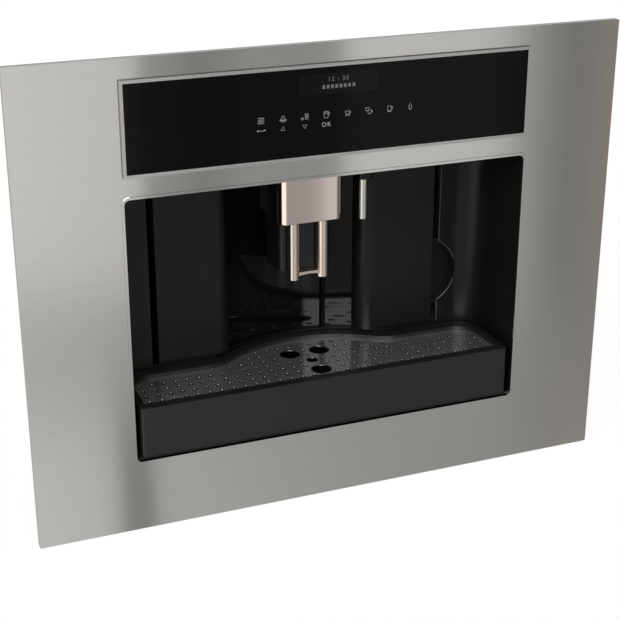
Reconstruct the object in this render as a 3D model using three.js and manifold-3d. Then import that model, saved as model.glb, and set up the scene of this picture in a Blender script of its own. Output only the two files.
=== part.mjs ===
// A built-in bean-to-cup coffee machine that pulls out of its cabinet on telescopic rails.
// Millimetres. x runs to the right, y from the fascia towards the back, z up from the shelf.
import * as THREE from 'three';
import { mergeVertices } from 'three/addons/utils/BufferGeometryUtils.js';
import Module from 'manifold-3d';

const wasm = await Module();
wasm.setup();

// ---------------------------------------------------------------- driving dimensions

const seat = 0.3; // gap between pieces that rest on each other or slide
const sheet = 1.2; // steel sheet of the casing
const wall = 2.5; // moulded plastic wall
const quarter = Math.PI / 2;

// Fascia: a folded steel pan that covers the cabinet's front edges.
const fasciaWidth = 595;
const fasciaHeight = 455;
const fasciaReturn = 7;
const fasciaLip = 12;
const fasciaLift = 1; // the fascia hangs this far above the shelf
const fasciaTop = fasciaLift + fasciaHeight;

// Opening of the cup niche in the fascia.
const openingWidth = 400;
const openingHeight = 258;
const openingSill = fasciaLift + 72;
const openingTop = openingSill + openingHeight;
const openingCorner = 5;
const rimWidth = 2.5;
const rimProud = 0.6;

// Control strip: a raised steel frame round a sheet of dark glass.
const controlWidth = 400;
const controlHeight = 86.5;
const controlMiddle = openingTop + 63.25;
const controlFrameWidth = 3;
const controlFrameProud = 3;
const controlLip = 4;
const glassThickness = 4;
const displayWidth = 84;
const displayHeight = 22;
const displayRise = 24.8; // display's middle above the middle of the glass
const touchBoardWidth = 172;
const touchBoardHeight = 26;
const housingDepth = 36;

// Casing behind the fascia.
const bodyWidth = 464;
const bodyDepth = 378;
const bodyTop = 372;
const bodyHalf = bodyWidth / 2;
const casingFlange = 14;

// Mounting base and telescopic rails under the machine.
const baseSheet = 2;
const baseFront = 22;
const baseDepth = 350;
const baseSide = 48;
const railHeight = 45;
const railLength = 346;
const railMiddle = 26;
const chassisFloor = 54; // top of the chassis floor
const railReach = 13.1; // how far the closed rail stands off the base's side

// Niche: side walls, rounded corners, flat wings and a round bulge in the middle of the back.
const nicheHalf = openingWidth / 2;
const nicheDepth = 89;
const nicheCorner = 25;
const nicheFillet = 31; // hollow round between a rear wing and the bulge
const bulgeCentre = -18; // y of the axis of every round of the bulge
const recessRadius = 139;
const windowHalf = 157; // half the width of the doorway in the niche's back
const seam = 7; // dark gap round the door and the tank's front
const trayBay = 56.5; // height of the tray's bay over the niche's floor

// Drip tray and its grille.
const trayHalf = 195;
const trayFlat = 86;
const trayBulge = 136;
const trayHeight = 50;
const trayRearCorner = 24;
const trayRim = 15;
const trayFillet = 34;
const grilleThickness = 1.2;
const grilleDrop = 3.5; // the grille lies this far below the tray's rim
const grilleHalf = 187;
const grilleFront = 11;
const grilleFlat = 72;
const grilleBulge = 125.5;
const grilleCorner = 22;
const grilleFillet = 44;
const holePitch = 12;
const holeDiameter = 3.8;
const holeFirstRow = 19.5;
const drainDiameter = 20;
const floatHoleDiameter = 11;
const floatHoleDepth = 54.5; // y of the float's hole
const drains = [[-16, 75.5], [16, 75.5], [0, 30]];

// Service door with the spout.
const doorTurn = 13; // radius of the door's bend into the recess
const doorWing = 73; // half-width of the recess at the door's bend
const doorRight = 33;
const mirrorThickness = 1.8;
const pinRadius = 2;
const pinInset = 4.5; // hinge pin's distance from the door's left edge
const pinDepth = 6.6; // hinge pin's distance behind the door's face
const spoutWidth = 67;
const spoutFront = 53;
const spoutDepth = 34;
const spoutHeight = 55;
const spoutCorner = 9;
const spoutRise = 42; // travel of the spout's core
const sleeveWall = 2;
const coreWidth = 57;
const coreHeight = 62;
const tubeDiameter = 12.5;
const tubeSpacing = 30.8;
const tubeDepth = 66;
const tubeDrop = 6; // tubes reach this far below the core
const archRise = 2.5; // of the web between the tubes
const keyWidth = 12;

// Hot-water nozzle.
const nozzleDiameter = 9;
const nozzleX = 52.5;
const nozzleY = 52;
const nozzleLength = 41;
const nozzleBlock = 14;
const nozzleBlockHeight = 21;
const nozzleSocket = 10; // the nozzle's depth inside its block

// Water tank behind the right wing.
const tankLeft = 65.3;
const tankTurn = 15;
const tankDepth = 206;
const tankHeight = 168;
const tankWall = 2;
const gripHeight = 67; // finger recess beside the tank's front
const gripWidth = 22;
const gripDepth = 15;
const gripMiddle = openingSill + 113.5;

// Service bay behind the door: brew group and grounds container.
const bayWall = 2;
const bayLeft = -154;
const bayRight = 59.5;
const bulkheadDepth = 242;
const chamberRadius = 30;
const chamberBore = 23;
const chamberHeight = 60;
const chamberRise = 30;
const brewX = -98;
const brewY = 190;
const groundsWidth = 74;
const groundsHeight = 112;

// Grinder, hopper and chute at the back left.
const grinderX = -90;
const grinderY = 292;
const grinderRadius = 42;
const grinderBase = 240;
const grinderHeight = 58;
const motorRadius = 32;
const motorHeight = 84;
const burrShaft = 6;
const hopperWidth = 120;
const hopperDepth = 94;
const throatRadius = 18;
const lidThickness = 3.2;
const hingePin = 1.4;
const chuteX = 22;
const chuteY = 275;
const chuteWidth = 34;
const chuteDepth = 36;
const knobRadius = 14;
const knobHeight = 12;
const knobX = -12;
const knobY = 318;

// Water path and electrics.
const boilerRadius = 28;
const boilerHeight = 96;
const boilerX = 18;
const boilerY = 276;
const pumpRadius = 19;
const pumpLength = 74;
const pumpBack = 44; // pump's axis in front of the casing's back
const meterRadius = 15;
const hoseRadius = 4;
const boardSheet = 1.6;
const inletWidth = 48;
const inletHeight = 64;
const inletSide = 82; // inlet's middle in from the casing's side
const inletZ = 110;

// ---------------------------------------------------------------- derived levels

const nicheFloor = openingSill + 3.7;
const trayBottom = nicheFloor + seat;
const trayTop = trayBottom + trayHeight;
const grilleTop = trayTop - grilleDrop;
const grilleLedge = grilleTop - grilleThickness - seat;
const sill = nicheFloor + wall + trayBay - 6.2; // top of the wall behind the tray
const doorBottom = sill + 1;
const doorTop = openingTop - 5;
const doorLeft = -(windowHalf - seam);
const pinX = doorLeft + pinInset;
const pinY = nicheDepth + pinDepth;
const shellWall = wall;
const sleeveTop = doorTop - 1;
const sleeveBottom = sleeveTop - spoutHeight;
const bracketWidth = spoutWidth - 2 * (sleeveWall + seat);
const bracketFront = spoutFront + sleeveWall + seat;
const bracketWall = (bracketWidth - coreWidth) / 2 - seat;
const coreTop = sleeveTop - sleeveWall - seat - bracketWall - 1 - spoutRise;
const coreBottom = coreTop - coreHeight;
const tankRight = windowHalf - seam;
const tankFloor = doorBottom - 0.2;
const bayBottom = nicheFloor - wall;
const bayTop = openingTop - 3;
const topPanel = bodyTop - sheet;
const backInside = bodyDepth - sheet;
const hopperTop = bodyTop + seat;
const pumpY = bodyDepth - pumpBack;
const inletX = bodyHalf - inletSide;
const nozzleBlockLow = openingTop - nozzleBlockHeight;

// ---------------------------------------------------------------- materials

const finish = (color, roughness, metalness, name) =>
  new THREE.MeshStandardMaterial({ color, roughness, metalness, name });
const brushedSteel = finish(0xaaa8a3, 0.35, 1, 'brushed steel');
const zincSteel = finish(0x9a9c9e, 0.5, 1, 'zinc-plated steel');
const darkGlass = finish(0x111111, 0.08, 0, 'dark glass');
const charcoal = finish(0x28282a, 0.45, 0, 'charcoal plastic');
const glossBlack = finish(0x0b0b0c, 0.06, 0, 'gloss black plastic');
const satinMetal = finish(0xa79d97, 0.3, 1, 'satin metal');
const chrome = finish(0xd8d8d8, 0.08, 1, 'chrome');
const clearPlastic = finish(0x9fb0b8, 0.1, 0, 'clear plastic');
const boardGreen = finish(0x1f5a34, 0.6, 0, 'circuit board');
const redPlastic = finish(0xa02018, 0.4, 0, 'red plastic');
const rubber = finish(0x1b1b1b, 0.8, 0, 'rubber');
const aluminium = finish(0xb8babc, 0.4, 1, 'cast aluminium');

// ---------------------------------------------------------------- making solids

// A closed geometry becomes a solid that can be cut and joined.
function solidOf(geometry) {
  geometry.deleteAttribute('normal');
  geometry.deleteAttribute('uv');
  const merged = mergeVertices(geometry, 1e-4);
  return new wasm.Manifold(new wasm.Mesh({
    numProp: 3,
    vertProperties: new Float32Array(merged.attributes.position.array),
    triVerts: new Uint32Array(merged.index.array),
  }));
}

// Moves every vertex of a geometry to where place(x, y, z) says.
function reshaped(geometry, place) {
  const position = geometry.attributes.position;
  for (let i = 0; i < position.count; i += 1) {
    position.setXYZ(i, ...place(position.getX(i), position.getY(i), position.getZ(i)));
  }
  return solidOf(geometry);
}

// A tapered block: a lower rectangle at z0 and an upper one at z1.
function taperedBlock(lower, z0, upper, z1) {
  return reshaped(new THREE.BoxGeometry(1, 1, 1), (x, y, z) => {
    const side = z > 0 ? upper : lower;
    return [side.x[x > 0 ? 1 : 0], side.y[y > 0 ? 1 : 0], z > 0 ? z1 : z0];
  });
}

// A block between two values on each axis, given in either order.
function block(xs, ys, zs) {
  const span = (values) => [Math.min(...values), Math.max(...values)];
  const plan = { x: span(xs), y: span(ys) };
  const [z0, z1] = span(zs);
  return taperedBlock(plan, z0, plan, z1);
}

const prism = (outline) => new THREE.ExtrudeGeometry(outline, { depth: 1, bevelEnabled: false });

// A plan outline (x, y) raised from z0 to z1.
function raised(outline, z0, z1) {
  return reshaped(prism(outline), (x, y, depth) => [x, y, depth > 0.5 ? z1 : z0]);
}

// A front outline (x, z) carried back from y0 to y1.
function carriedBack(outline, y0, y1) {
  return reshaped(prism(outline), (x, z, depth) => [x, depth > 0.5 ? y0 : y1, z]);
}

// A side outline (y, z) carried across from x0 to x1.
function carriedAcross(outline, x0, x1) {
  return reshaped(prism(outline), (y, z, depth) => [depth > 0.5 ? x1 : x0, y, z]);
}

// A round rod that starts at a point and runs along +x, +y or +z.
function rod(radius, [x, y, z], axis, length, { sides = 12 } = {}) {
  if (axis === 'x') return carriedAcross(new THREE.Shape(circle(y, z, radius, sides)), x, x + length);
  if (axis === 'y') return carriedBack(new THREE.Shape(circle(x, z, radius, sides)), y, y + length);
  return raised(new THREE.Shape(circle(x, y, radius, sides)), z, z + length);
}

// A profile of [radius, z] pairs turned about the vertical line through (x, y).
function turned(profile, x, y, sides = 20) {
  const points = profile.map(([radius, z]) => new THREE.Vector2(radius, z));
  const lathe = new THREE.LatheGeometry(points, sides);
  lathe.rotateX(quarter);
  lathe.translate(x, y, 0);
  return solidOf(lathe);
}

// A round hose through a list of [x, y, z] points.
function hose(points, radius) {
  const path = new THREE.CatmullRomCurve3(points.map((p) => new THREE.Vector3(...p)), false, 'centripetal');
  const ring = new THREE.Shape(circle(0, 0, radius, 8));
  return solidOf(new THREE.ExtrudeGeometry(ring, { steps: 16, extrudePath: path, bevelEnabled: false }));
}

const join = (first, ...others) => others.reduce((sum, other) => sum.add(other), first);
const cut = (first, ...others) => others.reduce((rest, other) => rest.subtract(other), first);

// ---------------------------------------------------------------- outlines

function arc(x, y, radius, from, to, steps) {
  if (radius <= 0) return [new THREE.Vector2(x, y)];
  return Array.from({ length: steps + 1 }, (_, i) => {
    const angle = from + ((to - from) * i) / steps;
    return new THREE.Vector2(x + radius * Math.cos(angle), y + radius * Math.sin(angle));
  });
}

function circle(x, y, radius, sides) {
  return arc(x, y, radius, 0, 4 * quarter, sides).slice(0, -1);
}

// A rectangle with rounded corners about its middle.
function roundedRectangle(x, y, width, height, radius, steps = 4) {
  const right = x + width / 2 - radius;
  const left = x - width / 2 + radius;
  const top = y + height / 2 - radius;
  const bottom = y - height / 2 + radius;
  return new THREE.Shape([
    ...arc(right, bottom, radius, -quarter, 0, steps),
    ...arc(right, top, radius, 0, quarter, steps),
    ...arc(left, top, radius, quarter, 2 * quarter, steps),
    ...arc(left, bottom, radius, 2 * quarter, 3 * quarter, steps),
  ]);
}

// Plan of the niche, the tray and the grille: straight sides, flat rear wings, and a round bulge that
// a hollow fillet leads into on each side.
function bellOutline({ half, front, flat, bulge, fillet, frontCorner = 0, rearCorner }) {
  const sweep = Math.acos((flat + fillet - bulgeCentre) / (bulge + fillet));
  const filletX = (bulge + fillet) * Math.sin(sweep);
  return new THREE.Shape([
    ...arc(half - frontCorner, front + frontCorner, frontCorner, -quarter, 0, 4),
    ...arc(half - rearCorner, flat - rearCorner, rearCorner, 0, quarter, 6),
    ...arc(filletX, flat + fillet, fillet, -quarter, -quarter - sweep, 5).slice(0, -1),
    ...arc(0, bulgeCentre, bulge, quarter - sweep, quarter + sweep, 14),
    ...arc(-filletX, flat + fillet, fillet, -quarter + sweep, -quarter, 5).slice(1),
    ...arc(-half + rearCorner, flat - rearCorner, rearCorner, quarter, 2 * quarter, 6),
    ...arc(-half + frontCorner, front + frontCorner, frontCorner, 2 * quarter, 3 * quarter, 4),
  ]);
}

// Angle on a round of the bulge at which x is reached.
const bulgeAngle = (radius, x) => Math.acos(x / radius);
const bulgeY = (radius, x) => bulgeCentre + Math.sqrt(radius ** 2 - x ** 2);

// A strip of the bulge between two radii, from x0 on the left to x1 on the right.
function bulgeStrip(inner, outer, x0, x1, steps = 12) {
  return new THREE.Shape([
    ...arc(0, bulgeCentre, inner, bulgeAngle(inner, x0), bulgeAngle(inner, x1), steps),
    ...arc(0, bulgeCentre, outer, bulgeAngle(outer, x1), bulgeAngle(outer, x0), steps),
  ]);
}

// ---------------------------------------------------------------- placing pieces

const machine = new THREE.Group();

function piece(name, solid, material) {
  const { vertProperties, triVerts } = solid.getMesh();
  const geometry = new THREE.BufferGeometry();
  geometry.setAttribute('position', new THREE.BufferAttribute(vertProperties, 3));
  geometry.setIndex(new THREE.BufferAttribute(triVerts, 1));
  geometry.computeVertexNormals();
  const mesh = new THREE.Mesh(geometry, material);
  mesh.name = name;
  machine.add(mesh);
}

const sides = [['left', -1], ['right', 1]];

// ---------------------------------------------------------------- base and rails

const baseHalf = bodyHalf - 4;
const railZ = baseSheet + railMiddle;
const baseRear = baseFront + baseDepth;

// x at a distance inwards from the base's side wall.
const inwards = (side, distance) => side * (baseHalf - baseSheet - distance);

function makeMountingBase() {
  const floor = block([-baseHalf, baseHalf], [baseFront, baseRear], [0, baseSheet]);
  const webs = sides.map(([, side]) => block(
    [side * baseHalf, side * (baseHalf - baseSheet)], [baseFront, baseRear], [0, baseSide]));
  const window = (x) => raised(roundedRectangle(x, baseFront + baseDepth / 2, 90, baseDepth * 0.6, 20),
    -1, baseSheet + 1);
  return cut(join(floor, ...webs), window(-110), window(110));
}

// One member of a telescopic rail: a web and two flanges, open towards the machine or the base.
function railMember(side, webFrom, webTo, flangeTo, height, y0, y1) {
  const half = height / 2;
  const web = block([inwards(side, webFrom), inwards(side, webTo)], [y0, y1], [railZ - half, railZ + half]);
  const reach = [inwards(side, Math.min(webFrom, flangeTo)), inwards(side, Math.max(webTo, flangeTo))];
  const flange = (up) => block(reach, [y0, y1],
    [railZ + up * half, railZ + up * (half - sheet)]);
  return join(web, flange(1), flange(-1));
}

const middleHalf = railHeight / 2 - sheet - 3.3;
const innerHalf = middleHalf - sheet - 3.8;

function makeMiddleRail(side) {
  const member = railMember(side, 4, 4 + sheet, 11.5, 2 * middleHalf, baseFront, baseFront + railLength);
  const balls = [];
  const places = [0.06, 0.5, 0.94].map((share) => baseFront + railLength * share);
  for (const y of places) {
    for (const up of [-1, 1]) {
      const start = Math.min(inwards(side, 5.5), inwards(side, 9.5));
      const outer = railZ + up * (middleHalf + 1.45);
      const inner = railZ + up * (innerHalf + 2.1);
      balls.push(rod(1.55, [start, y, outer], 'x', 4, { sides: 8 }));
      balls.push(rod(1.8, [start, y, inner], 'x', 4, { sides: 8 }));
    }
  }
  return join(member, ...balls);
}

piece('mounting_base', makeMountingBase(), zincSteel);
for (const [name, side] of sides) {
  piece(`fixed_rail_${name}`,
    railMember(side, seat, seat + sheet, 10, railHeight, baseFront, baseFront + railLength), zincSteel);
  piece(`middle_rail_${name}`, makeMiddleRail(side), zincSteel);
  piece(`inner_rail_${name}`,
    railMember(side, railReach - sheet, railReach, 6.5, 2 * innerHalf, baseFront, baseFront + railLength),
    zincSteel);
}

// ---------------------------------------------------------------- casing

const casingFront = sheet + seat;

function makeChassisFloor() {
  const inner = baseHalf - baseSheet - railReach - seat;
  const half = bodyHalf - sheet - seat;
  const floor = block([-half, half], [casingFront + sheet, backInside - seat],
    [chassisFloor - sheet, chassisFloor]);
  const parts = [floor];
  for (const [, side] of sides) {
    parts.push(block([side * inner, side * (inner - sheet)], [baseFront, baseFront + railLength],
      [railZ - innerHalf, chassisFloor]));
    parts.push(block([side * half, side * (half - sheet)], [casingFront + sheet, backInside - casingFlange],
      [chassisFloor - sheet, chassisFloor + casingFlange]));
  }
  const lift = block([-half, half], [casingFront, casingFront + sheet],
    [chassisFloor - sheet, openingSill - 8]);
  return join(lift, ...parts);
}

function ventSlots(count, pitch, make) {
  return Array.from({ length: count }, (_, i) => make((i - (count - 1) / 2) * pitch));
}

function makeSidePanel(side) {
  const outer = side * bodyHalf;
  const panel = block([outer, side * (bodyHalf - sheet)], [casingFront, bodyDepth],
    [chassisFloor - sheet, topPanel - seat]);
  const flange = block([outer, side * (bodyHalf + casingFlange)], [casingFront, casingFront + sheet],
    [chassisFloor + 10, topPanel - 20]);
  const bend = block([side * (bodyHalf - sheet), side * (bodyHalf + casingFlange)],
    [casingFront, casingFront + sheet], [chassisFloor + 10, topPanel - 20]);
  const slots = ventSlots(6, 14, (offset) => carriedAcross(
    roundedRectangle(bodyDepth - 78, topPanel - 90 + offset, 70, 5, 2.4, 2), outer - 5, outer + 5));
  return cut(join(panel, flange, bend), ...slots);
}

function makeBackPanel() {
  const half = bodyHalf - sheet - seat;
  const bottom = chassisFloor + seat;
  const top = topPanel - seat;
  const panel = block([-half, half], [backInside, bodyDepth], [bottom, top]);
  const rim = cut(block([-half, half], [backInside - 9, backInside], [bottom, top]),
    block([-half + sheet, half - sheet], [backInside - 10, bodyDepth], [bottom + sheet, top - sheet]));
  const slots = ventSlots(7, 15, (offset) => carriedBack(
    roundedRectangle(-96, topPanel - 90 + offset, 150, 5, 2.4, 2), backInside - 20, bodyDepth + 5));
  const inlet = block([inletX - inletWidth / 2, inletX + inletWidth / 2], [backInside - 20, bodyDepth + 5],
    [inletZ - inletHeight / 2, inletZ + inletHeight / 2]);
  return cut(join(panel, rim), ...slots, inlet);
}

const hopperX = grinderX;
const hopperY = grinderY;

function makeTopPanel() {
  const half = bodyHalf + seat + sheet;
  const front = fasciaReturn + 2;
  const back = bodyDepth + seat + sheet;
  const skirt = 16;
  const lid = block([-half, half], [front, back], [bodyTop - skirt, bodyTop]);
  const under = block([-half + sheet, half - sheet], [front - 1, back - sheet],
    [bodyTop - skirt - 1, topPanel]);
  const hopper = raised(roundedRectangle(hopperX, hopperY, hopperWidth + 2 * seat, hopperDepth + 2 * seat,
    10),
    topPanel - 1, bodyTop + 1);
  const chute = raised(roundedRectangle(chuteX, chuteY, chuteWidth + 2 * seat, chuteDepth + 2 * seat, 4),
    topPanel - 1, bodyTop + 1);
  const knob = rod(3.5 + seat, [knobX, knobY, topPanel - 1], 'z', 4);
  return cut(lid, under, hopper, chute, knob);
}

// Vertical steel wall across the casing that carries the grinder, the boiler and the service bay.
function makeBulkhead() {
  const half = bodyHalf - 2 * (sheet + seat);
  const plate = block([-half, half], [bulkheadDepth, bulkheadDepth + sheet],
    [chassisFloor + seat, topPanel - seat]);
  const foot = block([-half + casingFlange, half - casingFlange],
    [bulkheadDepth, bulkheadDepth + casingFlange],
    [chassisFloor + seat, chassisFloor + seat + sheet]);
  const tank = block([bayRight, tankRight + 7], [bulkheadDepth - 20, bulkheadDepth + 20],
    [tankFloor - 12, openingTop - 2]);
  const grounds = rod(17, [grinderX, bulkheadDepth - 20, grinderBase + 16], 'y', 40);
  const hoses = rod(14, [-20, bulkheadDepth - 20, chassisFloor + 60], 'y', 40, { sides: 12 });
  const rims = sides.map(([, side]) => block([side * half, side * (half - sheet)],
    [bulkheadDepth, bulkheadDepth + casingFlange], [chassisFloor + casingFlange + 2, topPanel - seat]));
  return cut(join(plate, foot, ...rims), tank, grounds, hoses);
}

piece('chassis_floor', makeChassisFloor(), zincSteel);
piece('side_panel_left', makeSidePanel(-1), zincSteel);
piece('side_panel_right', makeSidePanel(1), zincSteel);
piece('back_panel', makeBackPanel(), zincSteel);
piece('top_panel', makeTopPanel(), zincSteel);
piece('bulkhead', makeBulkhead(), zincSteel);

// ---------------------------------------------------------------- fascia and control strip

const openingMiddle = (openingSill + openingTop) / 2;

function makeFascia() {
  const half = fasciaWidth / 2;
  const middle = fasciaLift + fasciaHeight / 2;
  const pan = carriedBack(roundedRectangle(0, middle, fasciaWidth, fasciaHeight, 1.5, 2), 0, fasciaReturn);
  const inside = block([-half + sheet, half - sheet], [sheet, fasciaReturn - sheet],
    [fasciaLift + sheet, fasciaTop - sheet]);
  const behind = block([-half + fasciaLip, half - fasciaLip], [sheet, fasciaReturn + 1],
    [fasciaLift + fasciaLip, fasciaTop - fasciaLip]);
  const opening = carriedBack(
    roundedRectangle(0, openingMiddle, openingWidth, openingHeight, openingCorner), -5, fasciaReturn);
  const rim = carriedBack(roundedRectangle(0, openingMiddle, openingWidth + 2 * rimWidth,
    openingHeight + 2 * rimWidth, openingCorner + rimWidth), -rimProud, sheet);
  const grow = 2 * (controlFrameWidth - 1.5);
  const control = block([-(controlWidth - grow) / 2, (controlWidth - grow) / 2], [-5, 5],
    [controlMiddle - (controlHeight - grow) / 2, controlMiddle + (controlHeight - grow) / 2]);
  return cut(join(pan, rim), inside, behind, opening, control);
}

// A rectangular ring about the middle of the control strip, inset from its outer size.
function controlRing(outerInset, innerInset, y0, y1) {
  const span = (inset) => [
    [-controlWidth / 2 + inset, controlWidth / 2 - inset],
    [controlMiddle - controlHeight / 2 + inset, controlMiddle + controlHeight / 2 - inset],
  ];
  const [outerX, outerZ] = span(outerInset);
  const [innerX, innerZ] = span(innerInset);
  return cut(block(outerX, [y0, y1], outerZ), block(innerX, [y0 - 1, y1 + 1], innerZ));
}

const glassFront = -controlFrameProud + seat;
const glassBack = glassFront + glassThickness;

function makeControlFrame() {
  const collar = controlFrameWidth - 1.2;
  const ring = controlRing(0, controlFrameWidth, -controlFrameProud, -seat);
  const sleeve = controlRing(collar, controlFrameWidth, -controlFrameProud / 2, glassBack + seat + sheet);
  const lip = controlRing(collar, controlFrameWidth + controlLip, glassBack + seat, glassBack + seat + sheet);
  return join(ring, sleeve, lip);
}

function makeControlGlass() {
  const width = controlWidth - 2 * (controlFrameWidth + seat);
  const height = controlHeight - 2 * (controlFrameWidth + seat);
  return carriedBack(roundedRectangle(0, controlMiddle, width, height, 1, 2), glassFront, glassBack);
}

const boardFront = glassBack + seat;
const boardMiddle = controlMiddle - 6.5;
const displayMiddle = controlMiddle + displayRise;

function makeTouchBoard() {
  const half = touchBoardWidth / 2;
  const plate = block([-half, half], [boardFront, boardFront + boardSheet],
    [boardMiddle - touchBoardHeight / 2, boardMiddle + touchBoardHeight / 2]);
  const chips = [-52, -8, 40].map((x) => block([x, x + 14], [boardFront + 1, boardFront + 4.2],
    [boardMiddle - 7, boardMiddle + 7]));
  const plug = block([half - 24, half - 6], [boardFront + 1, boardFront + 9],
    [boardMiddle - 5, boardMiddle + 5]);
  return join(plate, ...chips, plug);
}

function makeDisplay() {
  const half = displayWidth / 2;
  const low = displayMiddle - displayHeight / 2;
  const body = block([2.5 - half, 2.5 + half], [boardFront, boardFront + 9], [low, low + displayHeight]);
  const lamp = block([2.5 - half - 5, 2.5 - half + 1], [boardFront + 3, boardFront + 8], [low + 4, low + 20]);
  return join(body, lamp);
}

function makeControlHousing() {
  const half = controlWidth / 2 + 1;
  const low = bodyTop + seat;
  const high = controlMiddle + controlHeight / 2 + 2;
  const box = block([-half, half], [casingFront, casingFront + housingDepth], [low, high]);
  const inside = block([-half + bayWall, half - bayWall], [0, casingFront + housingDepth - bayWall],
    [low + bayWall, high - bayWall]);
  const ribs = [-110, 110].map((x) => block([x, x + bayWall],
    [boardFront + 12, casingFront + housingDepth - 1],
    [low + 1, high - 1]));
  const cable = block([150, 175], [casingFront + housingDepth - 10, casingFront + housingDepth + 5],
    [low + 6, low + 16]);
  const frameRoom = block([-half + bayWall, half - bayWall], [0, glassBack + sheet + 2 * seat],
    [low - 1, high - bayWall]);
  return cut(join(cut(box, inside), ...ribs), cable, frameRoom);
}

piece('fascia', makeFascia(), brushedSteel);
piece('control_frame', makeControlFrame(), brushedSteel);
piece('control_glass', makeControlGlass(), darkGlass);
piece('touch_board', makeTouchBoard(), boardGreen);
piece('display_module', makeDisplay(), glossBlack);
piece('control_housing', makeControlHousing(), charcoal);

// ---------------------------------------------------------------- niche

const hingeLug = 12;

function makeNicheShell() {
  const inner = {
    half: nicheHalf,
    front: casingFront,
    flat: nicheDepth,
    bulge: recessRadius,
    fillet: nicheFillet,
    rearCorner: nicheCorner,
  };
  const outer = {
    half: nicheHalf + shellWall,
    front: casingFront,
    flat: nicheDepth + shellWall,
    bulge: recessRadius + shellWall,
    fillet: nicheFillet - shellWall,
    rearCorner: nicheCorner + shellWall,
  };
  const inside = { ...inner, front: casingFront - 5 };
  const body = raised(bellOutline(outer), nicheFloor - shellWall, openingTop + shellWall);
  const cavity = raised(bellOutline(inside), nicheFloor, openingTop);
  const doorway = block([-windowHalf, windowHalf], [nicheDepth - 10, nicheDepth + 60], [sill, openingTop]);
  // Cup behind the finger recess.
  const cup = block([windowHalf - seam, windowHalf + gripWidth + wall],
    [nicheDepth + 0.5, nicheDepth + gripDepth + wall],
    [gripMiddle - gripHeight / 2 - wall, gripMiddle + gripHeight / 2 + wall]);
  const reach = ((gripHeight / 2) ** 2 + gripWidth ** 2) / (2 * gripWidth);
  const swing = Math.asin(gripHeight / 2 / reach);
  const lens = carriedBack(new THREE.Shape([
    ...arc(windowHalf - 2 + gripWidth - reach, gripMiddle, reach, -swing, swing, 12),
    new THREE.Vector2(windowHalf - seam - 5, gripMiddle + gripHeight / 2),
    new THREE.Vector2(windowHalf - seam - 5, gripMiddle - gripHeight / 2),
  ]), nicheDepth - 5, nicheDepth + gripDepth);
  // Two lugs hold the door's hinge pin, one in the sill and one in the ceiling.
  const lug = (z0, z1) => block([pinX - 7, pinX + 7], [nicheDepth + 0.5, pinY + 6], [z0, z1]);
  const lugs = [lug(sill - hingeLug, sill), lug(openingTop, openingTop + shellWall)];
  const pinHole = rod(pinRadius + seat, [pinX, pinY, sill - hingeLug + 2], 'z',
    openingTop - sill + hingeLug + 5,
    { sides: 12 });
  return cut(join(cut(body, cavity, doorway), cup, ...lugs), lens, pinHole);
}

// Fixed right part of the recess, between the door and the tank: a sunk jamb and a glossy skin.
function makeRecessSide() {
  const left = doorRight + 3.5;
  const step = left + 2.5;
  const right = tankLeft - 0.6;
  const round = (radius, x0, x1) => arc(0, bulgeCentre, radius, bulgeAngle(radius, x0),
    bulgeAngle(radius, x1), 5);
  const ribY = bulgeY(recessRadius, right) + 14;
  const outline = new THREE.Shape([
    ...round(recessRadius + 2, left, step),
    ...round(recessRadius, step, right),
    new THREE.Vector2(right, ribY),
    new THREE.Vector2(right - bayWall, ribY),
    ...round(recessRadius + shellWall, right - bayWall, step + 3),
    ...round(recessRadius + shellWall + 4, step + 2, left),
  ]);
  return raised(outline, sill + seat, openingTop - seat);
}

function makeNozzleBlock() {
  const top = openingTop - seat;
  const body = raised(roundedRectangle(nozzleX + 1, nozzleY, nozzleBlock, nozzleBlock, 3, 3),
    nozzleBlockLow, top);
  return cut(body, rod(nozzleDiameter / 2 + seat, [nozzleX, nozzleY, nozzleBlockLow - 1], 'z',
    nozzleSocket + 2));
}

function makeNozzle() {
  const top = nozzleBlockLow + nozzleSocket;
  const low = nozzleBlockLow - nozzleLength;
  const tube = rod(nozzleDiameter / 2, [nozzleX, nozzleY, low], 'z', top - low);
  return cut(tube, rod(nozzleDiameter / 2 - 1.5, [nozzleX, nozzleY, low - 1], 'z', 14, { sides: 12 }));
}

piece('niche_shell', makeNicheShell(), charcoal);
piece('recess_side', makeRecessSide(), glossBlack);
piece('nozzle_block', makeNozzleBlock(), charcoal);
piece('hot_water_nozzle', makeNozzle(), chrome);

// ---------------------------------------------------------------- drip tray

function makeDripTray() {
  const outline = (inset, extra = 0) => bellOutline({
    half: trayHalf - inset,
    front: inset,
    flat: trayFlat - inset,
    bulge: trayBulge - inset,
    fillet: trayFillet + inset,
    frontCorner: Math.max(5 - inset, 1.5),
    rearCorner: trayRearCorner - inset + extra,
  });
  const body = raised(outline(0), trayBottom, trayTop);
  const tub = raised(outline(wall), trayBottom + wall, grilleLedge - 4);
  const mouth = raised(outline(trayRim), grilleLedge - 5, grilleLedge + 1);
  const rest = raised(bellOutline({
    half: grilleHalf + seat,
    front: grilleFront - seat,
    flat: grilleFlat + seat,
    bulge: grilleBulge + seat,
    fillet: grilleFillet - seat,
    frontCorner: 3,
    rearCorner: grilleCorner,
  }), grilleLedge, trayTop + 1);
  const post = cut(
    rod(13, [0, floatHoleDepth, trayBottom + 1], 'z', 18),
    rod(10, [0, floatHoleDepth, trayBottom + wall], 'z', 20),
    block([-20, 20], [floatHoleDepth - 2, floatHoleDepth + 2], [trayBottom + wall, trayBottom + 25]));
  return join(cut(body, tub, mouth, rest), post);
}

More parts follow.
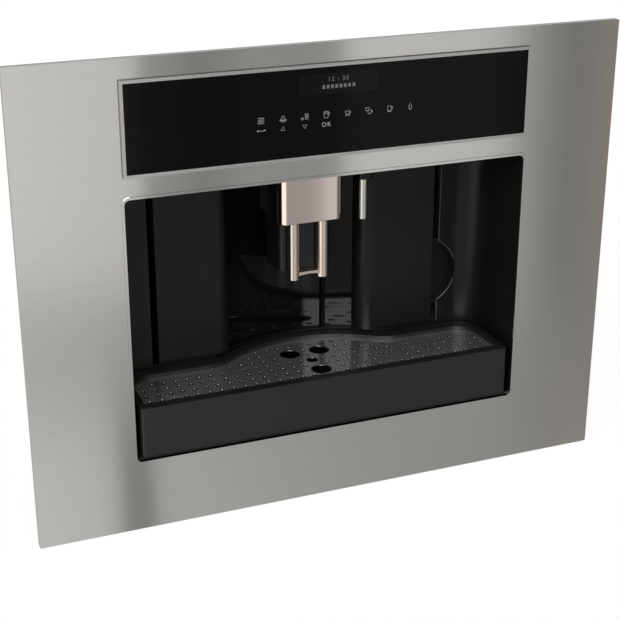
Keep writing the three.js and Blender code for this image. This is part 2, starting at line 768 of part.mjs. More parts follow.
// Small holes on a square grid wherever the plate has room beside its edge and its larger holes.
function grilleHoles() {
  const holes = [];
  const large = [...drains.map(([x, y]) => [x, y, drainDiameter / 2]),
    [0, floatHoleDepth, floatHoleDiameter / 2]];
  for (const [x, y, radius] of large) holes.push(circle(x, y, radius, 16));
  const columns = Math.floor((grilleHalf - 6) / holePitch);
  for (let y = holeFirstRow; y < bulgeCentre + grilleBulge - 4; y += holePitch) {
    for (let column = -columns; column <= columns; column += 1) {
      const x = column * holePitch;
      const onBulge = Math.hypot(x, y - bulgeCentre) < grilleBulge - 5;
      const onWings = y < grilleFlat - 5;
      const free = large.every(([lx, ly, radius]) => Math.hypot(x - lx, y - ly) > radius + 4);
      if (free && (onWings || onBulge)) holes.push(circle(x, y, holeDiameter / 2, 6));
    }
  }
  return holes.map((points) => new THREE.Path(points));
}

function makeGrille() {
  const plate = bellOutline({
    half: grilleHalf,
    front: grilleFront,
    flat: grilleFlat,
    bulge: grilleBulge,
    fillet: grilleFillet,
    frontCorner: 3,
    rearCorner: grilleCorner,
  });
  plate.holes = grilleHoles();
  return raised(plate, grilleTop - grilleThickness, grilleTop);
}

function makeTrayFloat() {
  const low = trayBottom + wall + seat;
  const bob = rod(8.5, [0, floatHoleDepth, low], 'z', 16, { sides: 16 });
  const stem = rod(floatHoleDiameter / 2 - 1.5, [0, floatHoleDepth, low + 15], 'z',
    grilleTop - 5.5 - low - 15,
    { sides: 12 });
  return join(bob, stem);
}

piece('drip_tray', makeDripTray(), charcoal);
piece('grille', makeGrille(), brushedSteel);
piece('tray_float', makeTrayFloat(), redPlastic);

// ---------------------------------------------------------------- service door and spout

const skinOuter = recessRadius + mirrorThickness + seat;
const slotLow = coreBottom + 18;
const slotHigh = coreTop + spoutRise + 0.5;

// Plan of the door's flat wing with its round bend into the recess.
function doorWingOutline(thickness) {
  const bendX = -doorWing - doorTurn;
  const bendY = nicheDepth + doorTurn;
  const meet = bulgeY(skinOuter, -doorWing) + 1;
  return new THREE.Shape([
    new THREE.Vector2(doorLeft, nicheDepth),
    ...arc(bendX, bendY, doorTurn, -quarter, 0, 6),
    new THREE.Vector2(-doorWing, meet),
    new THREE.Vector2(-doorWing - thickness, meet),
    ...arc(bendX, bendY, doorTurn - thickness, 0, -quarter, 6),
    new THREE.Vector2(doorLeft, nicheDepth + thickness),
  ]);
}

function makeDoorShell() {
  const wing = raised(doorWingOutline(wall), doorBottom, doorTop);
  const skin = raised(bulgeStrip(skinOuter, skinOuter + wall, -doorWing - wall + 0.2, doorRight),
    doorBottom, doorTop);
  const edgeY = bulgeY(skinOuter, doorRight);
  const rightEdge = block([doorRight - wall, doorRight], [edgeY + 0.5, edgeY + 9], [doorBottom, doorTop]);
  const leftEdge = block([doorLeft, doorLeft + wall], [nicheDepth + 1, nicheDepth + 14],
    [doorBottom, doorTop]);
  // Top and bottom flanges follow the skin.
  const flangeOutline = new THREE.Shape([
    new THREE.Vector2(doorLeft, nicheDepth + 1),
    new THREE.Vector2(-doorWing - doorTurn, nicheDepth + 1),
    new THREE.Vector2(-doorWing - 1, bulgeY(skinOuter, -doorWing) - 2),
    new THREE.Vector2(-doorWing - 1, bulgeY(skinOuter, -doorWing) + 1.5),
    ...arc(0, bulgeCentre, skinOuter + 1.2, bulgeAngle(skinOuter, -doorWing),
      bulgeAngle(skinOuter, doorRight - 1), 12),
    new THREE.Vector2(doorRight - 0.2, edgeY + 4),
    new THREE.Vector2(doorRight - 0.2, edgeY + 8.8),
    new THREE.Vector2(-doorWing, edgeY + 9),
    new THREE.Vector2(doorLeft + 14, nicheDepth + 14),
    new THREE.Vector2(doorLeft, nicheDepth + 14),
  ]);
  const flanges = [doorBottom, doorTop - wall].map((z) => raised(flangeOutline, z, z + wall));
  const knuckle = (z) => rod(pinInset - 0.3, [pinX, pinY, z], 'z', 24, { sides: 16 });
  const knuckles = [knuckle(doorBottom), knuckle(doorTop - 24)];
  const pinHole = rod(pinRadius + seat, [pinX, pinY, doorBottom - 1], 'z', doorTop - doorBottom + 2,
    { sides: 12 });
  const slot = block([-keyWidth / 2 - 1, keyWidth / 2 + 1], [nicheDepth, nicheDepth + 60],
    [slotLow, slotHigh]);
  const body = join(wing, skin, rightEdge, leftEdge, ...flanges, ...knuckles);
  return cut(body, pinHole, slot);
}

function makeMirrorPanel() {
  const panel = raised(bulgeStrip(recessRadius, recessRadius + mirrorThickness, -doorWing + seat, doorRight),
    doorBottom, doorTop);
  const slot = block([-keyWidth / 2 - 1, keyWidth / 2 + 1], [nicheDepth, nicheDepth + 60],
    [slotLow, slotHigh]);
  return cut(panel, slot);
}

// Plan of the spout's head: flat front, rounded front corners, open to the recess.
function headOutline(width, front, back, corner) {
  const half = width / 2;
  return new THREE.Shape([
    new THREE.Vector2(-half, back),
    ...arc(-half + corner, front + corner, corner, 2 * quarter, 3 * quarter, 5),
    ...arc(half - corner, front + corner, corner, 3 * quarter, 4 * quarter, 5),
    new THREE.Vector2(half, back),
  ]);
}

function makeSpoutSleeve() {
  const back = spoutFront + spoutDepth;
  const skin = raised(headOutline(spoutWidth, spoutFront, back, spoutCorner), sleeveBottom, sleeveTop);
  const inside = raised(headOutline(spoutWidth - 2 * sleeveWall, spoutFront + sleeveWall, back + 5,
    spoutCorner - sleeveWall), sleeveBottom - 1, sleeveTop - sleeveWall);
  return cut(skin, inside);
}

// Channel on the door that carries the sleeve and guides the core.
function makeSpoutBracket() {
  const back = recessRadius + bulgeCentre - 3.7 - seat;
  const top = sleeveTop - sleeveWall - seat;
  const channel = raised(headOutline(bracketWidth, bracketFront, back, spoutCorner - sleeveWall - seat),
    sleeveBottom + 1, top);
  const inside = raised(headOutline(coreWidth + 2 * seat, bracketFront + bracketWall, back + 5, 3),
    sleeveBottom, top - bracketWall);
  return cut(channel, inside);
}

const coreFront = tubeDepth + tubeDiameter / 2 + seat;

function makeSpoutCore() {
  const back = bulgeY(recessRadius, coreWidth / 2) - 3;
  const body = raised(roundedRectangle(0, (coreFront + back) / 2, coreWidth, back - coreFront, 8, 4),
    coreBottom, coreTop);
  const keyBack = recessRadius + bulgeCentre + mirrorThickness + wall + 1.5;
  const key = block([-keyWidth / 2, keyWidth / 2], [back - 2, keyBack + 3], [slotLow + 2, coreTop - 2]);
  const keyHead = block([-keyWidth / 2 - 4, keyWidth / 2 + 4], [keyBack, keyBack + 3],
    [slotLow + 2, coreTop - 2]);
  return join(body, key, keyHead);
}

function makeSpoutTubes() {
  const low = coreBottom - tubeDrop;
  const xs = [-tubeSpacing / 2, tubeSpacing / 2];
  const tubes = xs.map((x) => rod(tubeDiameter / 2, [x, tubeDepth, low], 'z', coreTop - low));
  const bores = xs.map((x) => rod(tubeDiameter / 2 - 1.5, [x, tubeDepth, low - 1], 'z', 26, { sides: 12 }));
  const half = tubeSpacing / 2;
  // A thin web with an arched lower edge joins the tubes.
  const webLow = low + 2.5;
  const webTop = webLow + 2 * archRise;
  const archRadius = (half ** 2 + archRise ** 2) / (2 * archRise);
  const archSweep = Math.asin(half / archRadius);
  const bridge = carriedBack(new THREE.Shape([
    new THREE.Vector2(-half, webTop),
    ...arc(0, webLow + archRise - archRadius, archRadius, quarter + archSweep, quarter - archSweep, 8),
    new THREE.Vector2(half, webTop),
  ].reverse()), tubeDepth - 4.5, tubeDepth + 4.5);
  return cut(join(tubes[0], bridge, tubes[1]), ...bores);
}

function makeHingePin() {
  const low = sill - hingeLug + 2 + seat;
  return rod(pinRadius, [pinX, pinY, low], 'z', openingTop + shellWall - low, { sides: 12 });
}

piece('door_shell', makeDoorShell(), charcoal);
piece('mirror_panel', makeMirrorPanel(), glossBlack);
piece('door_hinge_pin', makeHingePin(), zincSteel);
piece('spout_sleeve', makeSpoutSleeve(), satinMetal);
piece('spout_bracket', makeSpoutBracket(), charcoal);
piece('spout_core', makeSpoutCore(), glossBlack);
piece('spout_tubes', makeSpoutTubes(), satinMetal);

// ---------------------------------------------------------------- water tank

const tankTop = tankFloor + tankHeight;
const tankBack = nicheDepth + tankDepth;
const tankBodyFront = nicheDepth + tankTurn + 4;

function makeTankFront() {
  const bendX = tankLeft + tankTurn;
  const bendY = nicheDepth + tankTurn;
  const outline = new THREE.Shape([
    new THREE.Vector2(tankRight, nicheDepth),
    new THREE.Vector2(tankRight, nicheDepth + wall),
    ...arc(bendX, bendY, tankTurn - wall, 3 * quarter, 2 * quarter, 6),
    new THREE.Vector2(tankLeft + wall, tankBodyFront + 6),
    new THREE.Vector2(tankLeft, tankBodyFront + 6),
    ...arc(bendX, bendY, tankTurn, 2 * quarter, 3 * quarter, 6),
  ]);
  const skin = raised(outline, doorBottom, doorTop);
  const spacer = block([tankLeft + 22, tankRight - 18], [nicheDepth + 1, tankBodyFront - seat],
    [tankFloor + 20, tankTop - 24]);
  const hollow = block([tankLeft + 22 + wall, tankRight - 18 - wall], [nicheDepth + wall, tankBodyFront + 5],
    [tankFloor + 20 + wall, tankTop - 24 - wall]);
  return join(skin, cut(spacer, hollow));
}

const tankSpan = [tankLeft + wall + seat, tankRight - 1];
const tankMiddle = (tankSpan[0] + tankSpan[1]) / 2;

function makeWaterTank() {
  const width = tankSpan[1] - tankSpan[0];
  const depth = tankBack - tankBodyFront;
  const middle = (tankBack + tankBodyFront) / 2;
  const outside = raised(roundedRectangle(tankMiddle, middle, width, depth, 8, 3), tankFloor, tankTop);
  const inside = raised(roundedRectangle(tankMiddle, middle, width - 2 * tankWall, depth - 2 * tankWall, 6,
    3),
    tankFloor + tankWall, tankTop + 1);
  const outlet = rod(6, [tankMiddle, tankBack - 16, tankFloor - 1], 'z', 8, { sides: 12 });
  return cut(outside, inside, outlet);
}

function makeTankLid() {
  const width = tankSpan[1] - tankSpan[0];
  const depth = tankBack - tankBodyFront;
  const middle = (tankBack + tankBodyFront) / 2;
  const top = raised(roundedRectangle(tankMiddle, middle, width, depth, 8, 3), tankTop + seat,
    tankTop + seat + tankWall);
  const collar = cut(
    raised(roundedRectangle(tankMiddle, middle, width - 2 * tankWall - 2 * seat,
      depth - 2 * tankWall - 2 * seat, 5.5, 3),
      tankTop - 6, tankTop + 1),
    raised(roundedRectangle(tankMiddle, middle, width - 2 * tankWall - 5, depth - 2 * tankWall - 5, 4, 3),
      tankTop - 7, tankTop + seat + 0.1));
  const filler = rod(9, [tankMiddle, middle - 50, tankTop - 10], 'z', 20);
  return cut(join(top, collar), filler);
}

// Shelf with the tank's valve seat, low guide rails and legs down to the chassis floor.
function makeTankSeat() {
  const top = tankFloor - seat;
  const left = bayRight + seat;
  const right = tankRight + 3;
  const front = nicheDepth + 20;
  const back = tankBack + 8;
  const shelf = block([left, right], [front + 20, back], [top - 4, top]);
  const guide = (x) => block([x, x + bayWall], [front + 20, back], [top - 1, top + 12]);
  const stop = block([left, right], [back - bayWall, back], [top - 1, top + 40]);
  const leg = (x, y) => block([x, x + 5], [y, y + 28], [chassisFloor + seat, top - 3]);
  const legs = [[left + 4, front + 24], [right - 9, front + 24], [left + 4, back - 34],
    [right - 9, back - 34]];
  const nipple = rod(4.5, [tankMiddle, tankBack - 16, top - 10], 'z', 10, { sides: 12 });
  return join(shelf, guide(left), guide(right - bayWall), stop, ...legs.map(([x, y]) => leg(x, y)), nipple);
}

piece('tank_front', makeTankFront(), charcoal);
piece('water_tank', makeWaterTank(), clearPlastic);
piece('tank_lid', makeTankLid(), charcoal);
piece('tank_seat', makeTankSeat(), charcoal);

// ---------------------------------------------------------------- service bay, brew group, grounds

const bayFront = recessRadius + bulgeCentre + 12;
const bayBack = bulkheadDepth - seat;

function makeServiceBay() {
  const outside = block([bayLeft, bayRight], [bayFront, bayBack], [bayBottom, bayTop]);
  const inside = block([bayLeft + bayWall, bayRight - bayWall], [bayFront - 5, bayBack - bayWall],
    [bayBottom + bayWall, bayTop - bayWall]);
  const foot = (x) => block([x, x + 6], [bayFront + 10, bayBack - 10], [chassisFloor + seat, bayBottom + 1]);
  const inlet = rod(14, [grinderX, bayBack - 10, grinderBase + 16], 'y', 20);
  const hoseHole = rod(7, [-20, bayBack - 10, chassisFloor + 60], 'y', 20, { sides: 12 });
  return cut(join(cut(outside, inside), foot(bayLeft + 20), foot(-50), foot(bayRight - 26)), inlet, hoseHole);
}

const brewBase = bayBottom + bayWall + seat;
const brewPlate = bayBack - bayWall - seat;
const chamberBase = brewBase + 96;
const armBase = chamberBase + chamberHeight + chamberRise + 4;

function makeBrewFrame() {
  const half = 40;
  const plate = block([brewX - half, brewX + half], [brewPlate - 7, brewPlate], [brewBase, armBase + 24]);
  const foot = block([brewX - half, brewX + half], [brewY - 34, brewPlate], [brewBase, brewBase + 8]);
  const arm = block([brewX - 32, brewX + 32], [brewY - 26, brewPlate - 6], [armBase, armBase + 24]);
  const guides = [-1, 1].map((side) => rod(3.5, [brewX + side * 35, brewPlate - 15, brewBase + 7], 'z',
    armBase + 20 - brewBase - 7, { sides: 10 }));
  const cheeks = [-1, 1].map((side) => block([brewX + side * 30, brewX + side * half],
    [brewPlate - 22, brewPlate - 6],
    [armBase + 6, armBase + 24]));
  const stem = rod(8 + seat, [brewX, brewY, armBase - 1], 'z', 14);
  const window = block([brewX - 18, brewX + 18], [brewPlate - 10, brewPlate + 5],
    [brewBase + 130, armBase - 10]);
  return cut(join(plate, foot, arm, ...guides, ...cheeks), stem, window);
}

function makeBrewPiston() {
  return join(
    rod(chamberBore - seat, [brewX, brewY, armBase - seat - 22], 'z', 22, { sides: 20 }),
    rod(8, [brewX, brewY, armBase - 2], 'z', 14 - seat));
}

function makeBrewChamber() {
  const cup = rod(chamberRadius, [brewX, brewY, chamberBase], 'z', chamberHeight, { sides: 20 });
  const bore = rod(chamberBore, [brewX, brewY, chamberBase + 14], 'z', chamberHeight, { sides: 20 });
  const rearWall = block([brewX - 38, brewX + 38], [brewY + 20, brewPlate - 7 - 0.5],
    [chamberBase + 6, chamberBase + 34]);
  const holes = [-1, 1].map((side) => rod(3.5 + seat, [brewX + side * 35, brewPlate - 15, chamberBase], 'z',
    40,
    { sides: 10 }));
  const ears = [-1, 1].map((side) => block([brewX + side * 28, brewX + side * 41],
    [brewPlate - 22, brewPlate - 7.5],
    [chamberBase + 6, chamberBase + 34]));
  return cut(join(cup, rearWall, ...ears), bore, ...holes);
}

function makeGroundsContainer() {
  const x0 = bayRight - bayWall - 8 - groundsWidth;
  const x1 = x0 + groundsWidth;
  const y0 = bayFront + 2;
  const y1 = bayBack - bayWall - 1;
  const shape = (inset, z0, z1) => taperedBlock(
    { x: [x0 + 4 + inset, x1 - 4 - inset], y: [y0 + 4 + inset, y1 - 4 - inset] }, z0,
    { x: [x0 + inset, x1 - inset], y: [y0 + inset, y1 - inset] }, z1);
  const body = shape(0, brewBase, brewBase + groundsHeight);
  const inside = shape(bayWall, brewBase + bayWall, brewBase + groundsHeight + 1);
  return cut(body, inside);
}

piece('service_bay', makeServiceBay(), charcoal);
piece('brew_frame', makeBrewFrame(), charcoal);
piece('brew_piston', makeBrewPiston(), aluminium);
piece('brew_chamber', makeBrewChamber(), charcoal);
piece('grounds_container', makeGroundsContainer(), charcoal);

// ---------------------------------------------------------------- grinder, hopper, chute

const grinderTop = grinderBase + grinderHeight;
const mountFront = bulkheadDepth + sheet + seat;

function makeGrinderHousing() {
  const cup = turned([[0, grinderBase], [grinderRadius, grinderBase], [grinderRadius, grinderTop],
    [34, grinderTop],
    [34, grinderBase + 8], [0, grinderBase + 8]], grinderX, grinderY);
  const flange = block([grinderX - 38, grinderX + 38], [mountFront, grinderY - 30],
    [grinderBase, grinderBase + 44]);
  const keep = rod(34, [grinderX, grinderY, grinderBase + 8], 'z', grinderHeight, { sides: 24 });
  const spout = carriedAcross(new THREE.Shape([
    new THREE.Vector2(grinderY - 24, grinderBase + 9),
    new THREE.Vector2(grinderY - 24, grinderBase + 26),
    new THREE.Vector2(mountFront - 5, grinderBase + 24),
    new THREE.Vector2(mountFront - 5, grinderBase + 9),
  ].reverse()), grinderX - 9, grinderX + 9);
  const shaft = rod(burrShaft + seat + 0.2, [grinderX, grinderY, grinderBase - 1], 'z', 12);
  const adjuster = block([grinderX + 20, knobX + 8], [knobY - 8, knobY + 8],
    [grinderTop - 12, grinderTop - 2]);
  const adjusterHole = rod(3.5, [knobX, knobY, grinderTop - 6], 'z', 8, { sides: 12 });
  return cut(join(cup, cut(flange, keep), cut(adjuster, keep)), spout, shaft, adjusterHole);
}

function makeUpperBurr() {
  return turned([[22, grinderBase + 22], [33.7, grinderBase + 22], [33.7, grinderTop - 2],
    [throatRadius, grinderTop - 2],
    [throatRadius, grinderTop - 8], [22, grinderBase + 22]], grinderX, grinderY);
}

function makeLowerBurr() {
  const cone = turned([[0, grinderBase + 14], [20, grinderBase + 14], [20, grinderBase + 22],
    [9, grinderTop - 12],
    [0, grinderTop - 12]], grinderX, grinderY, 20);
  const shaft = rod(burrShaft, [grinderX, grinderY, grinderBase - 14], 'z', 32);
  const flutes = Array.from({ length: 8 }, (_, i) => {
    const groove = new THREE.BoxGeometry(1.8, 26, 22);
    groove.rotateX(0.5);
    groove.translate(0, 19.5, 0);
    groove.rotateZ((i * quarter) / 2);
    groove.translate(grinderX, grinderY, grinderBase + 32);
    return solidOf(groove);
  });
  return join(cut(cone, ...flutes), shaft);
}

function makeGrinderMotor() {
  const top = grinderBase - seat;
  const low = top - motorHeight;
  const body = turned([[0, low], [motorRadius - 4, low], [motorRadius, low + 5], [motorRadius, top - 6],
    [motorRadius + 5, top - 6], [motorRadius + 5, top], [0, top]], grinderX, grinderY);
  return cut(body, rod(burrShaft + 0.4, [grinderX, grinderY, top - 15], 'z', 20));
}

function makeBeanHopper() {
  const rimTop = hopperTop + 2;
  const rim = raised(roundedRectangle(hopperX, hopperY, hopperWidth + 8, hopperDepth + 8, 12), hopperTop,
    rimTop);
  const rect = (inset) => ({
    x: [hopperX - hopperWidth / 2 + inset, hopperX + hopperWidth / 2 - inset],
    y: [hopperY - hopperDepth / 2 + inset, hopperY + hopperDepth / 2 - inset],
  });
  const low = grinderTop + seat;
  const throat = rod(throatRadius + 6, [hopperX, hopperY, low], 'z', 20);
  const slopeTop = hopperTop - 20;
  const upper = raised(roundedRectangle(hopperX, hopperY, hopperWidth, hopperDepth, 10), slopeTop, rimTop);
  const upperIn = raised(roundedRectangle(hopperX, hopperY, hopperWidth - 5, hopperDepth - 5, 8),
    slopeTop - 0.01, rimTop + 1);
  const small = { x: [hopperX - 20, hopperX + 20], y: [hopperY - 20, hopperY + 20] };
  const smallIn = { x: [hopperX - 16, hopperX + 16], y: [hopperY - 16, hopperY + 16] };
  const funnel = taperedBlock(small, low + 8, rect(1), slopeTop);
  const funnelIn = taperedBlock(smallIn, low + 10, rect(3.5), slopeTop + 0.01);
  const bore = rod(throatRadius - 3, [hopperX, hopperY, low - 1], 'z', 24);
  const lug = (x) => block([x, x + 5], [hopperY + hopperDepth / 2 - 4, hopperY + hopperDepth / 2 + 4],
    [rimTop - 1, rimTop + 6]);
  const reach = hopperWidth / 2 - 20;
  const lugs = [lug(hopperX - reach - 5), lug(hopperX + reach)];
  const pins = rod(hingePin + seat, [hopperX - reach - 6, hopperY + hopperDepth / 2, rimTop + 3], 'x',
    2 * reach + 12,
    { sides: 10 });
  return cut(join(rim, upper, funnel, throat, ...lugs), upperIn, funnelIn, bore, pins);
}

// A flat lid that swings on a rear pin between two lugs.
function hingedLid({ x, y, width, depth, low, reach, pinLine, pinHeight }) {
  const plate = raised(roundedRectangle(x, y, width, depth, 8), low, low + lidThickness);
  const relief = [-1, 1].map((side) => block([x + side * (reach - 1), x + side * (reach + 6.5)],
    [pinLine - 6, pinLine + 12], [low - 2, low + 8]));
  const barrel = rod(2.4, [x - reach + 0.6, pinLine, pinHeight], 'x', 2 * reach - 1.2, { sides: 10 });
  const pin = rod(hingePin, [x - reach - 4, pinLine, pinHeight], 'x', 2 * reach + 8, { sides: 10 });
  const behind = block([x - width, x + width], [pinLine, pinLine + 30], [low - 1, low + lidThickness + 1]);
  return join(cut(plate, ...relief, behind), barrel, pin);
}

function makeBeanLid() {
  const rimTop = hopperTop + 2;
  const lid = hingedLid({
    x: hopperX,
    y: hopperY,
    width: hopperWidth + 4,
    depth: hopperDepth + 8,
    low: rimTop + seat,
    reach: hopperWidth / 2 - 20,
    pinLine: hopperY + hopperDepth / 2,
    pinHeight: rimTop + 3,
  });
  const tab = block([hopperX - 14, hopperX + 14], [hopperY - hopperDepth / 2 - 9, hopperY - hopperDepth / 2],
    [rimTop + seat, rimTop + seat + lidThickness]);
  return join(lid, tab);
}

function makeChute() {
  const rimTop = hopperTop + 2;
  const low = bayTop + 3;
  const rim = raised(roundedRectangle(chuteX, chuteY, chuteWidth + 8, chuteDepth + 8, 5), hopperTop, rimTop);
  const tube = raised(roundedRectangle(chuteX, chuteY, chuteWidth, chuteDepth, 4), low, rimTop);
  const bore = raised(roundedRectangle(chuteX, chuteY, chuteWidth - 5, chuteDepth - 5, 3), low - 1,
    rimTop + 1);
  const lug = (x) => block([x, x + 4], [chuteY + chuteDepth / 2 - 2.5, chuteY + chuteDepth / 2 + 4],
    [rimTop - 1, rimTop + 6]);
  const reach = chuteWidth / 2 - 6;
  const pins = rod(hingePin + seat, [chuteX - reach - 5, chuteY + chuteDepth / 2 + 0.5, rimTop + 3], 'x',
    2 * reach + 10,
    { sides: 10 });
  return cut(join(rim, tube, lug(chuteX - reach - 4), lug(chuteX + reach)), bore, pins);
}

function makeChuteFlap() {
  const rimTop = hopperTop + 2;
  return hingedLid({
    x: chuteX,
    y: chuteY,
    width: chuteWidth + 6,
    depth: chuteDepth + 6,
    low: rimTop + seat,
    reach: chuteWidth / 2 - 6,
    pinLine: chuteY + chuteDepth / 2 + 0.5,
    pinHeight: rimTop + 3,
  });
}

function makeGrindKnob() {
  const low = bodyTop + seat;
  const dial = rod(knobRadius, [knobX, knobY, low], 'z', knobHeight, { sides: 28 });
  const grips = Array.from({ length: 14 }, (_, i) => {
    const angle = (i * 4 * quarter) / 14;
    return rod(1.6, [knobX + (knobRadius + 0.4) * Math.cos(angle),
      knobY + (knobRadius + 0.4) * Math.sin(angle), low + 3],
      'z', knobHeight, { sides: 6 });
  });
  const pointer = block([knobX - 1.2, knobX + 1.2], [knobY - knobRadius + 1, knobY - 3],
    [low + knobHeight - 1, low + knobHeight + 1]);
  const shaft = rod(3.2, [knobX, knobY, grinderTop - 6 + seat], 'z', low + 1 - grinderTop + 6 - seat,
    { sides: 12 });
  return join(cut(dial, ...grips), pointer, shaft);
}

piece('grinder_housing', makeGrinderHousing(), aluminium);
piece('upper_burr', makeUpperBurr(), zincSteel);
piece('lower_burr', makeLowerBurr(), zincSteel);
piece('grinder_motor', makeGrinderMotor(), zincSteel);
piece('bean_hopper', makeBeanHopper(), clearPlastic);
piece('bean_lid', makeBeanLid(), charcoal);
piece('coffee_chute', makeChute(), charcoal);
piece('chute_flap', makeChuteFlap(), charcoal);
piece('grind_knob', makeGrindKnob(), charcoal);

// ---------------------------------------------------------------- water path and electrics

const boilerLow = chassisFloor + 96;

function makeBoiler() {
  const body = turned([[0, boilerLow], [boilerRadius - 6, boilerLow], [boilerRadius, boilerLow + 6],
    [boilerRadius, boilerLow + boilerHeight - 6], [boilerRadius - 6, boilerLow + boilerHeight],
    [0, boilerLow + boilerHeight]], boilerX, boilerY);
  const seam = rod(boilerRadius + 4, [boilerX, boilerY, boilerLow + boilerHeight / 2 - 2], 'z', 4,
    { sides: 24 });
  const bracket = (z) => block([boilerX - 16, boilerX + 16], [mountFront, boilerY - 20], [z, z + 10]);
  const ports = [-12, 12].map((x) => rod(hoseRadius, [boilerX + x, boilerY, boilerLow + boilerHeight - 1],
    'z', 9,
    { sides: 10 }));
  return join(body, seam, bracket(boilerLow + 12), bracket(boilerLow + boilerHeight - 22), ...ports);
}

const pumpZ = chassisFloor + 28;

function makePump() {
  const x0 = boilerX - pumpLength / 2;
  const coil = rod(pumpRadius, [x0, pumpY, pumpZ], 'x', pumpLength * 0.6, { sides: 20 });
  const head = rod(pumpRadius - 6, [x0 + pumpLength * 0.6 - 1, pumpY, pumpZ], 'x', pumpLength * 0.4,
    { sides: 16 });
  const inlet = rod(hoseRadius - 0.5, [x0 + pumpLength - 3, pumpY, pumpZ], 'x', 10, { sides: 10 });
  const outlet = rod(hoseRadius - 0.5, [x0 - 8, pumpY, pumpZ], 'x', 10, { sides: 10 });
  const yoke = block([x0 + 8, x0 + pumpLength * 0.6 - 8], [pumpY - pumpRadius - 2, pumpY + pumpRadius + 2],
    [pumpZ - pumpRadius - 2, pumpZ + pumpRadius + 2]);
  return join(coil, head, yoke, inlet, outlet);
}

function makePumpMount() {
  const x0 = boilerX - pumpLength / 2 + 8;
  const x1 = x0 + pumpLength * 0.6 - 16;
  return block([x0, x1], [pumpY - pumpRadius - 2, pumpY + pumpRadius + 2],
    [chassisFloor + seat, pumpZ - pumpRadius - 2 - seat]);
}

const meterX = tankMiddle;
const meterY = tankBack - 16;
const meterTop = tankFloor - seat - 10 - seat;

function makeFlowMeter() {
  const low = meterTop - 22;
  const body = rod(meterRadius, [meterX, meterY, low], 'z', 16, { sides: 16 });
  const neck = rod(5.5, [meterX, meterY, low + 15], 'z', 22 - 15, { sides: 12 });
  const port = rod(hoseRadius - 0.5, [meterX - meterRadius - 8, meterY, low + 8], 'x', 12, { sides: 10 });
  return join(body, neck, port);
}

const meterPort = [meterX - meterRadius - 8, meterY, meterTop - 14];
const pumpIn = [boilerX + pumpLength / 2 + 7, pumpY, pumpZ];
const pumpOut = [boilerX - pumpLength / 2 - 8, pumpY, pumpZ];
const boilerIn = [boilerX - 12, boilerY, boilerLow + boilerHeight + 8];

function makeSuctionHose() {
  const [mx, my, mz] = meterPort;
  const [px, py, pz] = pumpIn;
  return hose([[mx - seat, my, mz], [mx - 9, my, mz], [px + 16, (my + py) / 2 + 4, (mz + pz) / 2],
    [px + 11, py, pz], [px + seat, py, pz]], hoseRadius);
}

function makePressureHose() {
  const [px, py, pz] = pumpOut;
  const [bx, by, bz] = boilerIn;
  return hose([[px - seat, py, pz], [px - 9, py, pz], [px - 15, py, pz + 22], [px - 12, py, pz + 80],
    [bx - 24, by + 30, bz - 10], [bx - 6, by + 4, bz + 22], [bx, by, bz + 10], [bx, by, bz + seat]], hoseRadius);
}

function makePowerBoard() {
  const x0 = -(bodyHalf - sheet - seat);
  const y0 = 130;
  const z0 = 190;
  const plate = block([x0 + 8, x0 + 8 + boardSheet], [y0, y0 + 96], [z0, z0 + 120]);
  const studs = [[6, 6], [90, 6], [6, 114],
    [90, 114]].map(([y, z]) => rod(2.5, [x0 + seat, y0 + y, z0 + z], 'x', 8,
    { sides: 8 }));
  const relays = [0, 1, 2].map((i) => block([x0 + 9, x0 + 26], [y0 + 12, y0 + 34],
    [z0 + 12 + i * 32, z0 + 34 + i * 32]));
  const fins = [0, 1, 2, 3].map((i) => block([x0 + 9, x0 + 34], [y0 + 52 + i * 9, y0 + 55 + i * 9],
    [z0 + 60, z0 + 108]));
  const coil = block([x0 + 9, x0 + 30], [y0 + 50, y0 + 82], [z0 + 12, z0 + 44]);
  return join(plate, ...studs, ...relays, ...fins, coil);
}

// Mains inlet with a rocker switch above it, clipped into the back panel.
const rockerZ = inletZ + 14;
const rockerHalf = 11.6;
const rockerProud = 4.4;

function makePowerInlet() {
  const half = inletWidth / 2 - seat;
  const tall = inletHeight / 2 - seat;
  const body = block([inletX - half, inletX + half], [backInside - 26, bodyDepth + 2],
    [inletZ - tall, inletZ + tall]);
  const flange = block([inletX - half - 4, inletX + half + 4], [bodyDepth + seat, bodyDepth + 2.5],
    [inletZ - tall - 4, inletZ + tall + 4]);
  const socket = carriedBack(new THREE.Shape([
    new THREE.Vector2(inletX - 12, inletZ - 24),
    new THREE.Vector2(inletX + 12, inletZ - 24),
    new THREE.Vector2(inletX + 12, inletZ - 10),
    new THREE.Vector2(inletX + 7, inletZ - 5),
    new THREE.Vector2(inletX - 7, inletZ - 5),
    new THREE.Vector2(inletX - 12, inletZ - 10),
  ]), bodyDepth - 14, bodyDepth + 5);
  const pins = [[-7, -15], [7, -15], [0, -10]].map(([x, z]) => block([inletX + x - 1, inletX + x + 1],
    [bodyDepth - 15, bodyDepth - 2], [inletZ + z - 2, inletZ + z + 2]));
  const well = block([inletX - 15, inletX + 15], [bodyDepth - 10, bodyDepth + 5],
    [rockerZ - rockerHalf, rockerZ + rockerHalf]);
  const pivots = rod(1.6, [inletX - 17, bodyDepth - 1.5, rockerZ], 'x', 34, { sides: 10 });
  return join(cut(join(body, flange), socket, well, pivots), ...pins);
}

